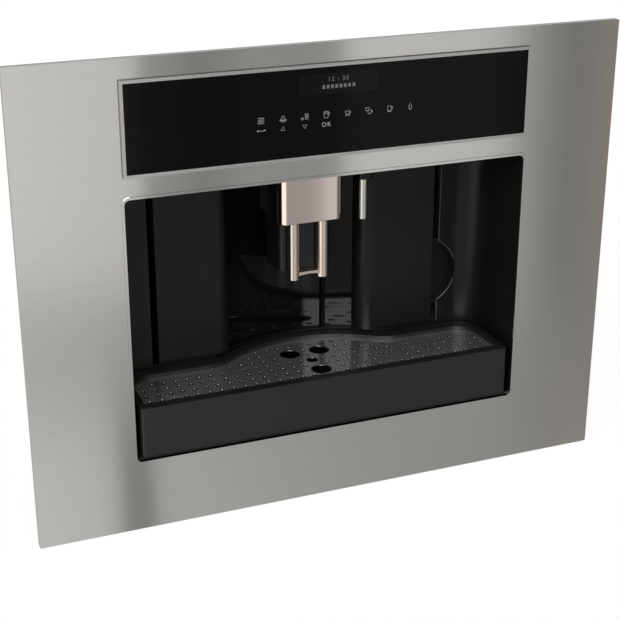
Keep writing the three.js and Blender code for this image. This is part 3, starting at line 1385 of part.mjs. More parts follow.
function makeMainRocker() {
  const key = carriedAcross(new THREE.Shape([
    new THREE.Vector2(bodyDepth - 6, rockerZ - 5),
    new THREE.Vector2(bodyDepth + 2.8, rockerZ - 9.6),
    new THREE.Vector2(bodyDepth + rockerProud, rockerZ - 9.2),
    new THREE.Vector2(bodyDepth + 2.4, rockerZ),
    new THREE.Vector2(bodyDepth + rockerProud, rockerZ + 9.2),
    new THREE.Vector2(bodyDepth + 2.8, rockerZ + 9.6),
    new THREE.Vector2(bodyDepth - 6, rockerZ + 5),
  ]), inletX - 14, inletX + 14);
  const pivot = rod(1.3, [inletX - 16.5, bodyDepth - 1.5, rockerZ], 'x', 33, { sides: 10 });
  return join(key, pivot);
}

piece('boiler', makeBoiler(), aluminium);
piece('water_pump', makePump(), zincSteel);
piece('pump_mount', makePumpMount(), rubber);
piece('flow_meter', makeFlowMeter(), charcoal);
piece('suction_hose', makeSuctionHose(), rubber);
piece('pressure_hose', makePressureHose(), rubber);
piece('power_board', makePowerBoard(), boardGreen);
piece('power_inlet', makePowerInlet(), charcoal);
piece('main_rocker', makeMainRocker(), redPlastic);

// The part's origin is under the middle of its outer box.
const rearmost = bodyDepth + rockerProud;
machine.position.set(0, -(rearmost - controlFrameProud) / 2, 0);

export default machine;
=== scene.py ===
"""Built-in coffee machine: finishes, small parts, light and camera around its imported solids."""

import math

import bmesh
import bpy
from mathutils import Euler, Matrix, Vector


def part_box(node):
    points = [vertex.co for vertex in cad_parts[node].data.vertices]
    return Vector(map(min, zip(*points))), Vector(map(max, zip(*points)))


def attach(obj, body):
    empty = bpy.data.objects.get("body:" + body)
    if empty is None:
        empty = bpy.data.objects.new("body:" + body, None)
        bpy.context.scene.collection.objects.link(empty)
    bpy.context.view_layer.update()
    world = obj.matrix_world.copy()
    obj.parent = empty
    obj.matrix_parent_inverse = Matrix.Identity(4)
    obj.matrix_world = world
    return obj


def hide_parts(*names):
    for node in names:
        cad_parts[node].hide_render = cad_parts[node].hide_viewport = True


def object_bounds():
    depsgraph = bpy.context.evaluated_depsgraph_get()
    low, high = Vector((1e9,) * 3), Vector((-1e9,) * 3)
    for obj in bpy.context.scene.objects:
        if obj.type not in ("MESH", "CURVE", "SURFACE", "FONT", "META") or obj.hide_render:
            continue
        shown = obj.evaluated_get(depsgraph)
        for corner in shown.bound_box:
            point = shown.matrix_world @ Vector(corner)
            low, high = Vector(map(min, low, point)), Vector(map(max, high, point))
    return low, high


bl_info = {
    "name": "Built-in Coffee Machine",
    "version": (1, 0, 0),
    "blender": (4, 5, 0),
    "location": "View3D > Sidebar > Coffee Machine",
    "description": "Dresses a built-in coffee machine with its finishes, marks and small parts",
    "category": "Object",
}

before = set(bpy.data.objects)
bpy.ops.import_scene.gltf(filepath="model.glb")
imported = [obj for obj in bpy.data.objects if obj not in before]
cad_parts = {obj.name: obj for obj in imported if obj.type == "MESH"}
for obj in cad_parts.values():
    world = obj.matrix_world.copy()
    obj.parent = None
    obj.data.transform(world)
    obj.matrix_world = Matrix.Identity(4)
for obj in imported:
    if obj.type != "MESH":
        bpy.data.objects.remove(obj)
CAD_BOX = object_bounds()

MM = 0.001
FASCIA_LOW, FASCIA_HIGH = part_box("fascia")
FASCIA_FACE = FASCIA_LOW.y
FASCIA_MIDDLE = (FASCIA_LOW.z + FASCIA_HIGH.z) / 2
GLASS_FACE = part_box("control_glass")[0].y
GRILLE_LOW, GRILLE_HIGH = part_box("grille")
DOOR_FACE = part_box("door_shell")[0].y  # the niche's rear wall lies in this plane too


# -------------------- properties

COLOUR = {"subtype": "COLOR", "size": 3, "min": 0, "max": 1}
LENGTH = {"subtype": "DISTANCE", "unit": "LENGTH"}


class CoffeeFinishes(bpy.types.PropertyGroup):
    """Colours and sheen of the machine's surfaces."""

    steel: bpy.props.FloatVectorProperty(
        name="Brushed Steel", description="Colour of the fascia's steel",
        default=(0.63, 0.615, 0.59), **COLOUR)
    steel_roughness: bpy.props.FloatProperty(
        name="Steel Roughness", description="Roughness of the brushed steel",
        subtype="FACTOR", min=0, max=1, default=0.085)
    charcoal: bpy.props.FloatVectorProperty(
        name="Charcoal", description="Colour of the moulded niche",
        default=(0.0105, 0.0106, 0.0108), **COLOUR)
    tray: bpy.props.FloatVectorProperty(
        name="Tray", description="Colour of the drip tray",
        default=(0.0125, 0.0125, 0.0126), **COLOUR)
    gloss: bpy.props.FloatVectorProperty(
        name="Gloss Black", description="Colour of the polished recess",
        default=(0.0055, 0.0055, 0.0056), **COLOUR)
    champagne: bpy.props.FloatVectorProperty(
        name="Spout Metal", description="Colour of the spout's satin metal",
        default=(0.76, 0.665, 0.625), **COLOUR)
    polished: bpy.props.FloatVectorProperty(
        name="Polished Metal", description="Colour of the spout's tubes",
        default=(0.73, 0.64, 0.57), **COLOUR)
    grille: bpy.props.FloatVectorProperty(
        name="Grille Steel", description="Colour of the cup grille",
        default=(0.42, 0.43, 0.41), **COLOUR)


class CoffeeSizes(bpy.types.PropertyGroup):
    """Sizes of the small parts that dress the solids."""

    edge: bpy.props.FloatProperty(
        name="Moulded Edge", description="Rounding of the moulded pieces' edges",
        min=0.0001, max=0.002, default=0.0006, **LENGTH)
    stroke: bpy.props.FloatProperty(
        name="Mark Stroke", description="Width of the printed marks' strokes",
        min=0.0001, max=0.001, default=0.00055, **LENGTH)
    mark_pitch: bpy.props.FloatProperty(
        name="Mark Pitch", description="Distance from one touch mark to the next",
        min=0.005, max=0.04, default=0.021, **LENGTH)
    dimple: bpy.props.FloatProperty(
        name="Hole Dimple", description="Width of the dimple pressed round each of the grille's drains",
        min=0.0001, max=0.001, default=0.0006, **LENGTH)
    screw: bpy.props.FloatProperty(
        name="Screw Head", description="Radius of the casing's screw heads",
        min=0.001, max=0.006, default=0.0034, **LENGTH)


class CoffeeStudio(bpy.types.PropertyGroup):
    """Camera and light of the studio."""

    camera_place: bpy.props.FloatVectorProperty(
        name="Camera Place", description="Where the camera stands, from the middle of the fascia's face",
        subtype="TRANSLATION", unit="LENGTH", size=3, default=(-0.4846, -1.1406, 0.4679))
    camera_turn: bpy.props.FloatProperty(
        name="Camera Turn", description="Turn of the view to the right",
        subtype="ANGLE", unit="ROTATION", default=math.radians(21.96))
    camera_dip: bpy.props.FloatProperty(
        name="Camera Dip", description="Dip of the view under the horizon",
        subtype="ANGLE", unit="ROTATION", default=math.radians(21.9))
    lens: bpy.props.FloatProperty(
        name="Lens", description="Focal length of the camera in millimetres",
        subtype="DISTANCE_CAMERA", unit="CAMERA", min=20, max=200, default=80.81)
    soft_light: bpy.props.FloatProperty(
        name="Soft Light", description="Power of the large soft lamp",
        unit="POWER", min=0, max=500, default=16)
    sky: bpy.props.FloatProperty(
        name="Room Light", description="Strength of the even light of the room",
        subtype="FACTOR", min=0, max=2, default=0.45)


# -------------------- shader groups

BROAD_STREAKS = (6, 6, 420)  # noise per metre along x, y and z, so that streaks run level
FINE_SCRATCHES = (40, 40, 3200)
SKIN_GRAIN = 1600  # noise per metre of a moulded skin of grain size 1
SKIN_DRIFT = (7, 7, 7)
DUST_PATCHES = (38, 38, 38)


def shader_group(name, vectors, numbers, results):
    """An empty node group that takes vectors and numbers, with its sockets for what it takes and gives."""
    group = bpy.data.node_groups.new(name, "ShaderNodeTree")
    for socket in vectors:
        group.interface.new_socket(name=socket, in_out="INPUT", socket_type="NodeSocketVector")
    for socket, default in numbers.items():
        made = group.interface.new_socket(name=socket, in_out="INPUT", socket_type="NodeSocketFloat")
        made.default_value = default
    for socket in results:
        group.interface.new_socket(name=socket, in_out="OUTPUT", socket_type="NodeSocketFloat")
    return group, group.nodes.new("NodeGroupInput").outputs, group.nodes.new("NodeGroupOutput").inputs


def feed(tree, socket, value):
    """A value given to a socket: another socket is linked, and anything else is set."""
    if isinstance(value, bpy.types.NodeSocket):
        tree.links.new(value, socket)
    else:
        socket.default_value = value


def fed(tree, node, **inputs):
    """A node with values for its inputs, which are named with _ for a space."""
    for name, value in inputs.items():
        feed(tree, node.inputs[name.replace("_", " ")], value)
    return node


def math_node(tree, operation, *values):
    """The result of a sum on one or two values, each a socket or a number."""
    node = tree.nodes.new("ShaderNodeMath")
    node.operation = operation
    for socket, value in zip(node.inputs, values):
        feed(tree, socket, value)
    return node.outputs[0]


def mapped_range(tree, value, low, high, to_low=0.0, to_high=1.0, smooth=False):
    """A value between low and high turned into one between two others."""
    node = tree.nodes.new("ShaderNodeMapRange")
    node.interpolation_type = "SMOOTHSTEP" if smooth else "LINEAR"
    fed(tree, node, Value=value, From_Min=low, From_Max=high, To_Min=to_low, To_Max=to_high)
    return node.outputs[0]


def noise_node(tree, vector, scale, detail):
    """Noise on a vector."""
    noise = tree.nodes.new("ShaderNodeTexNoise")
    return fed(tree, noise, Vector=vector, Scale=scale, Detail=detail).outputs["Fac"]


def stretched_noise(tree, vector, scale, detail):
    """Noise on a vector that is stretched by a scale per axis."""
    stretch = tree.nodes.new("ShaderNodeVectorMath")
    stretch.operation = "MULTIPLY"
    feed(tree, stretch.inputs[0], vector)
    feed(tree, stretch.inputs[1], scale)
    return noise_node(tree, stretch.outputs[0], 1.0, detail)


def swing(group, noise, amount):
    """Noise as a swing round nought, times an amount."""
    return math_node(group, "MULTIPLY", math_node(group, "SUBTRACT", noise, 0.5), amount)


def brushed_group():
    """Long horizontal scratches of a brushing belt, with broad soft streaks over them."""
    group, taken, given = shader_group(
        "Brushed Grain", ("Vector",), {"Streaks": 0.1, "Scratches": 0.1}, ("Tone", "Height"))
    broad = stretched_noise(group, taken["Vector"], BROAD_STREAKS, 3)
    fine = stretched_noise(group, taken["Vector"], FINE_SCRATCHES, 2)
    streaks = swing(group, broad, taken["Streaks"])
    scratches = swing(group, fine, taken["Scratches"])
    tone = math_node(group, "ADD", math_node(group, "ADD", streaks, scratches), 1.0)
    group.links.new(tone, given["Tone"])
    group.links.new(fine, given["Height"])
    return group


def moulded_group():
    """Fine eroded skin of a moulded plastic, with a slow drift of tone."""
    group, taken, given = shader_group(
        "Moulded Skin", ("Vector",), {"Grain Size": 1.0, "Drift": 0.1}, ("Tone", "Height"))
    skin = noise_node(group, taken["Vector"], math_node(group, "DIVIDE", SKIN_GRAIN, taken["Grain Size"]), 3)
    slow = stretched_noise(group, taken["Vector"], SKIN_DRIFT, 2)
    group.links.new(math_node(group, "ADD", swing(group, slow, taken["Drift"]), 1.0), given["Tone"])
    group.links.new(skin, given["Height"])
    return group


def dust_group():
    """Faint dust that gathers on faces that look up."""
    group, taken, given = shader_group("Settled Dust", ("Vector", "Normal"), {"Amount": 0.1}, ("Mask",))
    split = group.nodes.new("ShaderNodeSeparateXYZ")
    group.links.new(taken["Normal"], split.inputs[0])
    upward = mapped_range(group, split.outputs["Z"], 0.3, 1.0, smooth=True)
    noise = stretched_noise(group, taken["Vector"], DUST_PATCHES, 4)
    patches = mapped_range(group, noise, 0.42, 0.7, smooth=True)
    mask = math_node(group, "MULTIPLY", math_node(group, "MULTIPLY", upward, patches), taken["Amount"])
    group.links.new(mask, given["Mask"])
    return group


GROUP_MAKERS = {"Brushed Grain": brushed_group, "Moulded Skin": moulded_group, "Settled Dust": dust_group}


def placed_group(tree, name, **values):
    """A shared group placed in a material with its own values."""
    node = tree.nodes.new("ShaderNodeGroup")
    node.node_tree = bpy.data.node_groups.get(name) or GROUP_MAKERS[name]()
    return fed(tree, node, **values)


# -------------------- materials

MATERIALS = {}
SKIN_RANGE = (0.3, 0.7)  # nearly all of the skin's height lies between these
ZINC_FLAKES = 150  # flakes per metre
BOARD_TRACKS = 160


def new_material(name, colour, metallic, roughness):
    """A material kept under its name: its tree, its plain Principled shader and the object coordinates."""
    material = bpy.data.materials.new(name.title())
    material.use_nodes = True
    tree = material.node_tree
    shader = tree.nodes["Principled BSDF"]
    fed(tree, shader, Base_Color=(*colour, 1), Metallic=metallic, Roughness=roughness)
    MATERIALS[name] = material
    return tree, shader, tree.nodes.new("ShaderNodeTexCoord").outputs["Object"]


def toned(tree, shader, colour, tone):
    """Base colour times a tone that varies over the surface."""
    scaled = tree.nodes.new("ShaderNodeVectorMath")
    scaled.operation = "SCALE"
    fed(tree, scaled, Vector=colour, Scale=tone)
    fed(tree, shader, Base_Color=scaled.outputs[0])


def bumped(tree, shader, height, strength, distance):
    """A bump of a height that varies over the surface."""
    bump = fed(tree, tree.nodes.new("ShaderNodeBump"), Strength=strength, Distance=distance, Height=height)
    fed(tree, shader, Normal=bump.outputs[0])


def skinned(tree, shader, place, colour, grain, drift):
    """The moulded skin's tone on the base colour; gives the skin's height."""
    skin = placed_group(tree, "Moulded Skin", Vector=place, Grain_Size=grain, Drift=drift)
    toned(tree, shader, colour, skin.outputs["Tone"])
    return skin.outputs["Height"]


def uneven(tree, value, low, high, roughness, change):
    """A roughness that rises from less to more by a share of itself, as a value goes from low to high."""
    return mapped_range(tree, value, low, high, roughness * (1 - change), roughness * (1 + change))


def brushed_metal(name, colour, roughness, streaks, anisotropy):
    """Sheet brushed along x, its highlights drawn out across the brushing."""
    tree, shader, place = new_material(name, colour, 1.0, roughness)
    grain = placed_group(tree, "Brushed Grain", Vector=place, Streaks=streaks, Scratches=0.1)
    toned(tree, shader, colour, grain.outputs["Tone"])
    tangent = tree.nodes.new("ShaderNodeTangent")
    tangent.direction_type = "RADIAL"
    tangent.axis = "Z"
    rough = mapped_range(tree, grain.outputs["Tone"], 0.9, 1.1, roughness * 1.12, roughness * 0.9)
    fed(tree, shader, Roughness=rough, Anisotropic=anisotropy, Anisotropic_Rotation=0.25,
        Tangent=tangent.outputs[0])
    bumped(tree, shader, grain.outputs["Height"], 0.05, 0.00002)


def satin_metal(name, colour, roughness, grain=1.6, depth=0.00001, metallic=1.0):
    """Blasted or drawn metal with a fine even grain."""
    tree, shader, place = new_material(name, colour, metallic, roughness)
    bumped(tree, shader, skinned(tree, shader, place, colour, grain, 0.08), 0.15, depth)


def moulded_plastic(name, colour, roughness, grain=1.0, depth=0.00003, dust=0.0, level=0.5):
    """Plastic from an eroded mould, with dust on it where it looks up and lies open."""
    tree, shader, place = new_material(name, colour, 0.0, roughness)
    height = skinned(tree, shader, place, colour, grain, 0.15)
    rough = uneven(tree, height, *SKIN_RANGE, roughness, 0.08)
    if dust:
        normal = tree.nodes.new("ShaderNodeNewGeometry").outputs["Normal"]
        settled = placed_group(tree, "Settled Dust", Vector=place, Normal=normal, Amount=dust)
        rough = math_node(tree, "ADD", rough, settled.outputs["Mask"])
    fed(tree, shader, Roughness=rough, Specular_IOR_Level=level)
    bumped(tree, shader, height, 0.35, depth)


def gloss_plastic(name, colour, roughness, level=0.5):
    """Polished plastic or glass, a little unevenly wiped."""
    tree, shader, place = new_material(name, colour, 0.0, roughness)
    height = skinned(tree, shader, place, colour, 30.0, 0.3)
    fed(tree, shader, Roughness=uneven(tree, height, *SKIN_RANGE, roughness, 0.2), Specular_IOR_Level=level)


def clear_plastic(name, colour, roughness):
    """Tinted see-through plastic with a faint orange peel."""
    tree, shader, place = new_material(name, colour, 0.0, roughness)
    fed(tree, shader, Transmission_Weight=0.92, IOR=1.46)
    bumped(tree, shader, skinned(tree, shader, place, colour, 12.0, 0.1), 0.1, 0.00002)


def zinc_sheet(name, colour, roughness):
    """Zinc-plated sheet with the faint flakes of its plating."""
    tree, shader, place = new_material(name, colour, 1.0, roughness)
    cells = fed(tree, tree.nodes.new("ShaderNodeTexVoronoi"), Vector=place, Scale=ZINC_FLAKES)
    flake = tree.nodes.new("ShaderNodeSeparateXYZ")
    feed(tree, flake.inputs[0], cells.outputs["Color"])
    skin = placed_group(tree, "Moulded Skin", Vector=place, Grain_Size=5.0, Drift=0.12)
    flake_tone = mapped_range(tree, flake.outputs["X"], 0, 1, 0.92, 1.06)
    toned(tree, shader, colour, math_node(tree, "MULTIPLY", flake_tone, skin.outputs["Tone"]))
    fed(tree, shader, Roughness=uneven(tree, flake.outputs["Y"], 0, 1, roughness, 0.15))
    bumped(tree, shader, skin.outputs["Height"], 0.1, 0.00002)


def board_material(name, colour):
    """Lacquered circuit board with paler copper tracks under the lacquer."""
    tree, shader, place = new_material(name, colour, 0.0, 0.32)
    cells = tree.nodes.new("ShaderNodeTexVoronoi")
    cells.feature = "DISTANCE_TO_EDGE"
    fed(tree, cells, Vector=place, Scale=BOARD_TRACKS, Randomness=0.6)
    tracks = mapped_range(tree, cells.outputs["Distance"], 0.03, 0.07, 1.5, 0.85)
    toned(tree, shader, colour, tracks)
    bumped(tree, shader, tracks, 0.2, 0.00003)


def printed_mark(name, colour, glow):
    """Pale print, lit a little from behind."""
    tree, shader, place = new_material(name, colour, 0.0, 0.4)
    skinned(tree, shader, place, colour, 3.0, 0.2)
    fed(tree, shader, Emission_Color=(*colour, 1), Emission_Strength=glow)


def build_materials(finishes):
    """Every finish of the machine."""
    brushed_metal("fascia steel", finishes.steel, finishes.steel_roughness, streaks=0.03, anisotropy=0.9)
    brushed_metal("frame steel", (0.6, 0.6, 0.58), 0.24, streaks=0.06, anisotropy=0.5)
    satin_metal("grille steel", finishes.grille, 0.14, metallic=0.72)
    # Darker copies of the grille's steel for the pressed rims round the drains and holes: painted shade.
    satin_metal("drain shade steel", (0.13, 0.13, 0.126), 0.2)
    satin_metal("dimple shade steel", (0.3, 0.3, 0.29), 0.16)
    zinc_sheet("zinc sheet", (0.56, 0.57, 0.58), 0.36)
    zinc_sheet("rail steel", (0.62, 0.63, 0.64), 0.26)
    satin_metal("spout metal", finishes.champagne, 0.06)
    satin_metal("polished metal", finishes.polished, 0.2)
    satin_metal("nozzle chrome", (0.62, 0.63, 0.6), 0.2)
    satin_metal("cast aluminium", (0.62, 0.62, 0.63), 0.42, grain=4.0, depth=0.00005)
    moulded_plastic("niche plastic", finishes.charcoal, 0.34, dust=0.06, level=0.22)
    moulded_plastic("tray plastic", finishes.tray, 0.42, grain=1.3, dust=0.08, level=0.4)
    moulded_plastic("core plastic", (0.009, 0.0092, 0.0097), 0.34, level=0.35)
    # Pale glossy plastic for painted highlights: the bright lines on the finger recess's edge and on the
    # tank's edge.
    moulded_plastic("painted highlight plastic", (0.13, 0.13, 0.125), 0.22)
    # Near-black matte stand-in for shade: painted shade on the recess's side, in the grille's hole throats
    # and in the screws' cross recesses.
    moulded_plastic("painted shade black", (0.002, 0.002, 0.002), 0.8, level=0.1)
    moulded_plastic("hidden plastic", (0.03, 0.03, 0.031), 0.5, grain=1.6)
    gloss_plastic("gloss black", finishes.gloss, 0.06, level=0.22)
    gloss_plastic("touch glass", (0.0035, 0.0035, 0.0037), 0.05, level=0.12)
    gloss_plastic("display film", (0.006, 0.006, 0.0065), 0.07, level=0.16)
    clear_plastic("clear plastic", (0.82, 0.87, 0.9), 0.06)
    board_material("circuit board", (0.02, 0.12, 0.05))
    gloss_plastic("red plastic", (0.48, 0.02, 0.015), 0.22)
    moulded_plastic("rubber", (0.012, 0.012, 0.012), 0.75, grain=2.0, depth=0.00005)
    printed_mark("printed mark", (0.5, 0.5, 0.49), 0.12)
    printed_mark("display mark", (0.2, 0.2, 0.2), 0.03)
    satin_metal("screw steel", (0.6, 0.6, 0.59), 0.3, grain=2.0)


# -------------------- making of pieces

MERGED = 2e-6  # corners this near each other are one
ON_PLANE = 1e-5  # a corner this near a plane lies in it
FLAT = math.radians(0.5)  # faces that meet under this angle are one


def placed(name, shape, material, body):
    """A finished bmesh as a piece that rides on a body."""
    mesh = bpy.data.meshes.new(name)
    shape.to_mesh(mesh)
    shape.free()
    mesh.materials.append(MATERIALS[material])
    piece = bpy.data.objects.new(name, mesh)
    bpy.context.scene.collection.objects.link(piece)
    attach(piece, body)
    return piece


def smoothed(shape, angle):
    """Smooth faces, with hard edges where two faces meet at more than the angle."""
    for face in shape.faces:
        face.smooth = True
    for edge in shape.edges:
        edge.smooth = len(edge.link_faces) == 2 and edge.calc_face_angle(0) < angle


def merged_solid(node):
    """A solid's mesh with its doubled corners joined."""
    shape = bmesh.new()
    shape.from_mesh(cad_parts[node].data)
    bmesh.ops.remove_doubles(shape, verts=shape.verts, dist=MERGED)
    return shape


def softened(node, name, material, body, width=0.0, angle=30):
    """A copy of a solid, merged, with rounded edges and smooth curved faces, that stands for the solid."""
    shape = merged_solid(node)
    bmesh.ops.dissolve_limit(shape, angle_limit=FLAT, verts=shape.verts, edges=shape.edges)
    limit = math.radians(angle)
    smoothed(shape, limit)
    piece = placed(name, shape, material, body)
    if width:
        bevel = piece.modifiers.new("Rounded edges", "BEVEL")
        bevel.width = width
        bevel.segments = 2
        bevel.limit_method = "ANGLE"
        bevel.angle_limit = limit
        bevel.harden_normals = True
    weighted = piece.modifiers.new("Weighted normals", "WEIGHTED_NORMAL")
    weighted.keep_sharp = True
    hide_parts(node)
    return piece


def second_finish(piece, material, axis, limit):
    """Another finish on a piece's faces whose middle lies under a limit on an axis."""
    piece.data.materials.append(MATERIALS[material])
    for polygon in piece.data.polygons:
        polygon.material_index = int(polygon.center[axis] < limit)


def dress(material, *nodes):
    """A finish on solids that are shown as they are."""
    for node in nodes:
        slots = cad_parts[node].data.materials
        slots.clear()
        slots.append(MATERIALS[material])


def raised_block(shape, low, high):
    """A box added to a shape between two corners."""
    low, high = Vector(low), Vector(high)
    size = high - low
    lift = Matrix.Translation((low + high) / 2) @ Matrix.Diagonal((*size, 1))
    bmesh.ops.create_cube(shape, size=1, matrix=lift)


def join_shapes(shape, other):
    """A second shape added to a first, and freed."""
    scrap = bpy.data.meshes.new("scrap")
    other.to_mesh(scrap)
    other.free()
    shape.from_mesh(scrap)
    bpy.data.meshes.remove(scrap)


def face_rims(shape, axis, place, lean):
    """Edges in a plane across an axis, of a face whose normal has less than lean along the axis."""
    return [edge for edge in shape.edges
            if all(abs(vert.co[axis] - place) < ON_PLANE for vert in edge.verts)
            and any(abs(face.normal[axis]) < lean for face in edge.link_faces)]


def closed_runs(edges):
    """The corners of each closed run of edges, in their order."""
    left = dict.fromkeys(edges)
    runs = []
    while left:
        start, corner = left.popitem()[0].verts
        run = [start.co.copy()]
        while corner != start:
            run.append(corner.co.copy())
            edge = next(other for other in corner.link_edges if other in left)
            del left[edge]
            corner = edge.other_vert(corner)
        runs.append(run)
    return runs


def shape_of(curve):
    """A curve's or a text's mesh as a shape, and the curve removed."""
    holder = bpy.data.objects.new(curve.name, curve)
    mesh = bpy.data.meshes.new_from_object(holder)
    shape = bmesh.new()
    shape.from_mesh(mesh)
    bpy.data.objects.remove(holder)
    bpy.data.curves.remove(curve)
    bpy.data.meshes.remove(mesh)
    return shape


def strokes_shape(name, strokes, width):
    """Round strokes along lines of x and z in the plane y = 0."""
    curve = bpy.data.curves.new(name, "CURVE")
    curve.dimensions = "3D"
    curve.bevel_depth = width / 2
    curve.bevel_resolution = 1
    curve.use_fill_caps = True
    for points in strokes:
        spline = curve.splines.new("POLY")
        closed = points[0] == points[-1] and len(points) > 2
        kept = points[:-1] if closed else points
        spline.points.add(len(kept) - 1)
        for target, (x, z) in zip(spline.points, kept):
            target.co = (x, 0, z, 1)
        spline.use_cyclic_u = closed
    return shape_of(curve)


def bead(name, lines, width, y, material, body):
    """A round bead along lines of x and z in a plane across y."""
    shape = strokes_shape(name, lines, width)
    bmesh.ops.translate(shape, verts=shape.verts, vec=(0, y, 0))
    smoothed(shape, math.radians(60))
    return placed(name, shape, material, body)


def ring(shape, points, z):
    """A closed ring through points of x and y at a height: its corners and its edges."""
    corners = [shape.verts.new((x, y, z)) for x, y in points]
    return corners, [shape.edges.new(pair) for pair in zip(corners, corners[1:] + corners[:1])]


def wall(shape, first, second, finish):
    """A band of faces between two rings' corners."""
    for here in range(len(first)):
        there = (here + 1) % len(first)
        face = shape.faces.new((first[here], first[there], second[there], second[here]))
        face.material_index = finish


# -------------------- fascia and touch strip

OPENINGS_REACH = 0.25  # the fascia's openings end inside this x, and its outline outside
OPENING_RIGHT = 0.1945  # the right side of the niche's opening lies outside this x


class COFFEE_OT_fascia(bpy.types.Operator):
    """Brushed steel fascia, its opening's bright edge and gasket, and the control strip's raised frame"""

    bl_idname = "coffee.fascia"
    bl_label = "Steel Fascia"

    def execute(self, context):
        dress("fascia steel", "fascia")
        dress("frame steel", "control_frame")
        shape = merged_solid("fascia")
        runs = [run for run in closed_runs(face_rims(shape, 1, FASCIA_FACE, 0.9))
                if max(corner.x for corner in run) < OPENINGS_REACH]
        shape.free()
        lowest = min(runs, key=lambda run: sum(corner.z for corner in run) / len(run))
        opening = [(corner.x, corner.z) for corner in (*lowest, lowest[0])]
        right = [pair for pair in zip(opening, opening[1:]) if min(x for x, z in pair) > OPENING_RIGHT]
        for name, lines, width, back, material, slot in (
                ("opening_bead", right, 0.8 * MM, 0.42 * MM, "frame steel", "brushed_steel"),
                ("opening_gasket", [opening], 2.6 * MM, 2.8 * MM, "rubber", "charcoal_plastic")):
            bead(name, lines, width, FASCIA_FACE + back, material, "machine")
        return {"FINISHED"}


# Lines of each mark, in millimetres across and up from its middle.
MARKS = {
    "menu": [[(-3, height), (3, height)] for height in (2.4, 0.8, -0.8, -2.4)],
    "steam": [[(-3.4, -1.4), (3.4, -1.4)],
              [(-2.6, -0.2), (-1.6, -2.8), (1.6, -2.8), (2.6, -0.2), (-2.6, -0.2)],
              [(-1.2, 0.8), (-0.8, 1.7), (-1.2, 2.6)], [(0.8, 0.8), (1.2, 1.7), (0.8, 2.6)]],
    "beans": [[(-3.6, -1.8), (-2.2, -0.6), (-1.2, -1.9), (-2.6, -3), (-3.6, -1.8)],
              [(-3.2, -2.5), (-1.8, -1.2)], [(1.8, 1.6), (1.8, -1.6)],
              [(0.4, -2.4), (3.2, -2.4), (3.2, 2.4), (0.4, 2.4), (0.4, -2.4)]],
    "tall cup": [[(-2.4, 3), (-2.1, -3), (1.5, -3), (1.8, 3), (-2.4, 3)],
                 [(1.8, 1.8), (3, 1.6), (2.9, -0.6), (1.7, -0.8)], [(-2.3, 1.4), (1.7, 1.4)]],
    "small cup": [[(-2.4, 1.4), (-2, -1.4), (1.4, -1.4), (1.8, 1.4), (-2.4, 1.4)],
                  [(1.8, 0.9), (2.8, 0.7), (2.6, -0.5), (1.6, -0.6)], [(-2.8, -2.6), (2.4, -2.6)]],
    "two cups": [[(-3.4, 2.6), (-3.1, -0.2), (-0.2, -0.2), (0.1, 2.6), (-3.4, 2.6)],
                 [(-0.9, -0.9), (-0.7, -3), (2.2, -3), (2.6, 0.2), (0.5, 0.4)],
                 [(2.6, -0.4), (3.6, -0.7), (3.4, -1.9), (2.3, -2)]],
    "mug": [[(-2.2, 2.2), (-2, -2), (1.5, -2), (1.8, 2.2), (-2.2, 2.2)],
            [(1.8, 1.5), (3, 1.2), (2.8, -0.6), (1.6, -0.9)], [(-2.2, -2.9), (1.8, -2.9)]],
    "drop": [[(0, 3.4), (-1.3, 0.2), (-1.5, -1.3), (-0.7, -2.6),
              (0.7, -2.6), (1.5, -1.3), (1.3, 0.2), (0, 3.4)]],
}
LOWER_MARKS = {
    "back": [[(-3.8, 0), (4, 0)], [(-2.6, 1), (-3.8, 0), (-2.6, -1)], [(4, 0), (4, 0.9)]],
    "up": [[(-2, -1.5), (0, 1.8), (2, -1.5), (-2, -1.5)]],
    "down": [[(-2, 1.5), (0, -1.8), (2, 1.5), (-2, 1.5)]],
}

# Places on the strip from the fascia's middle, and how far each print stands off the glass.
FIRST_MARK = -0.0725
MARK_ROW = 0.1625
LOWER_ROW = 0.1533
MARK_LIFT = 0.00004
MARK_THICKNESS = 0.12  # of the stroke's width
FILM_LEFT, FILM_RIGHT = -0.036, 0.041
FILM_LOW, FILM_HIGH = 0.1813, 0.1998
FILM_LIFT = 0.00006
BARS = 8
FIRST_BAR = -0.0135
BAR_PITCH = 0.0042
BAR_WIDTH = 0.0026
BAR_LOW, BAR_HIGH = 0.1862, 0.1896
BAR_LIFT = 0.0001
CLOCK_X, CLOCK_ROW = 0.002, 0.1945
CLOCK_LIFT = 0.00008
LETTER_SIZE = 0.0058
LETTER_DEPTH = 0.00002
LETTER_SPACING = 1.25


def lettering(text, x, y, z):
    """Plain letters or numbers as a thin flat shape that stands at a place and faces forward."""
    curve = bpy.data.curves.new("Numbers", "FONT")
    curve.body = text
    curve.size = LETTER_SIZE
    curve.extrude = LETTER_DEPTH
    curve.align_x = "CENTER"
    curve.align_y = "CENTER"
    curve.space_character = LETTER_SPACING
    shape = shape_of(curve)
    bmesh.ops.rotate(shape, verts=shape.verts, cent=(0, 0, 0), matrix=Matrix.Rotation(math.pi / 2, 3, "X"))
    bmesh.ops.translate(shape, verts=shape.verts, vec=(x, y, z))
    return shape


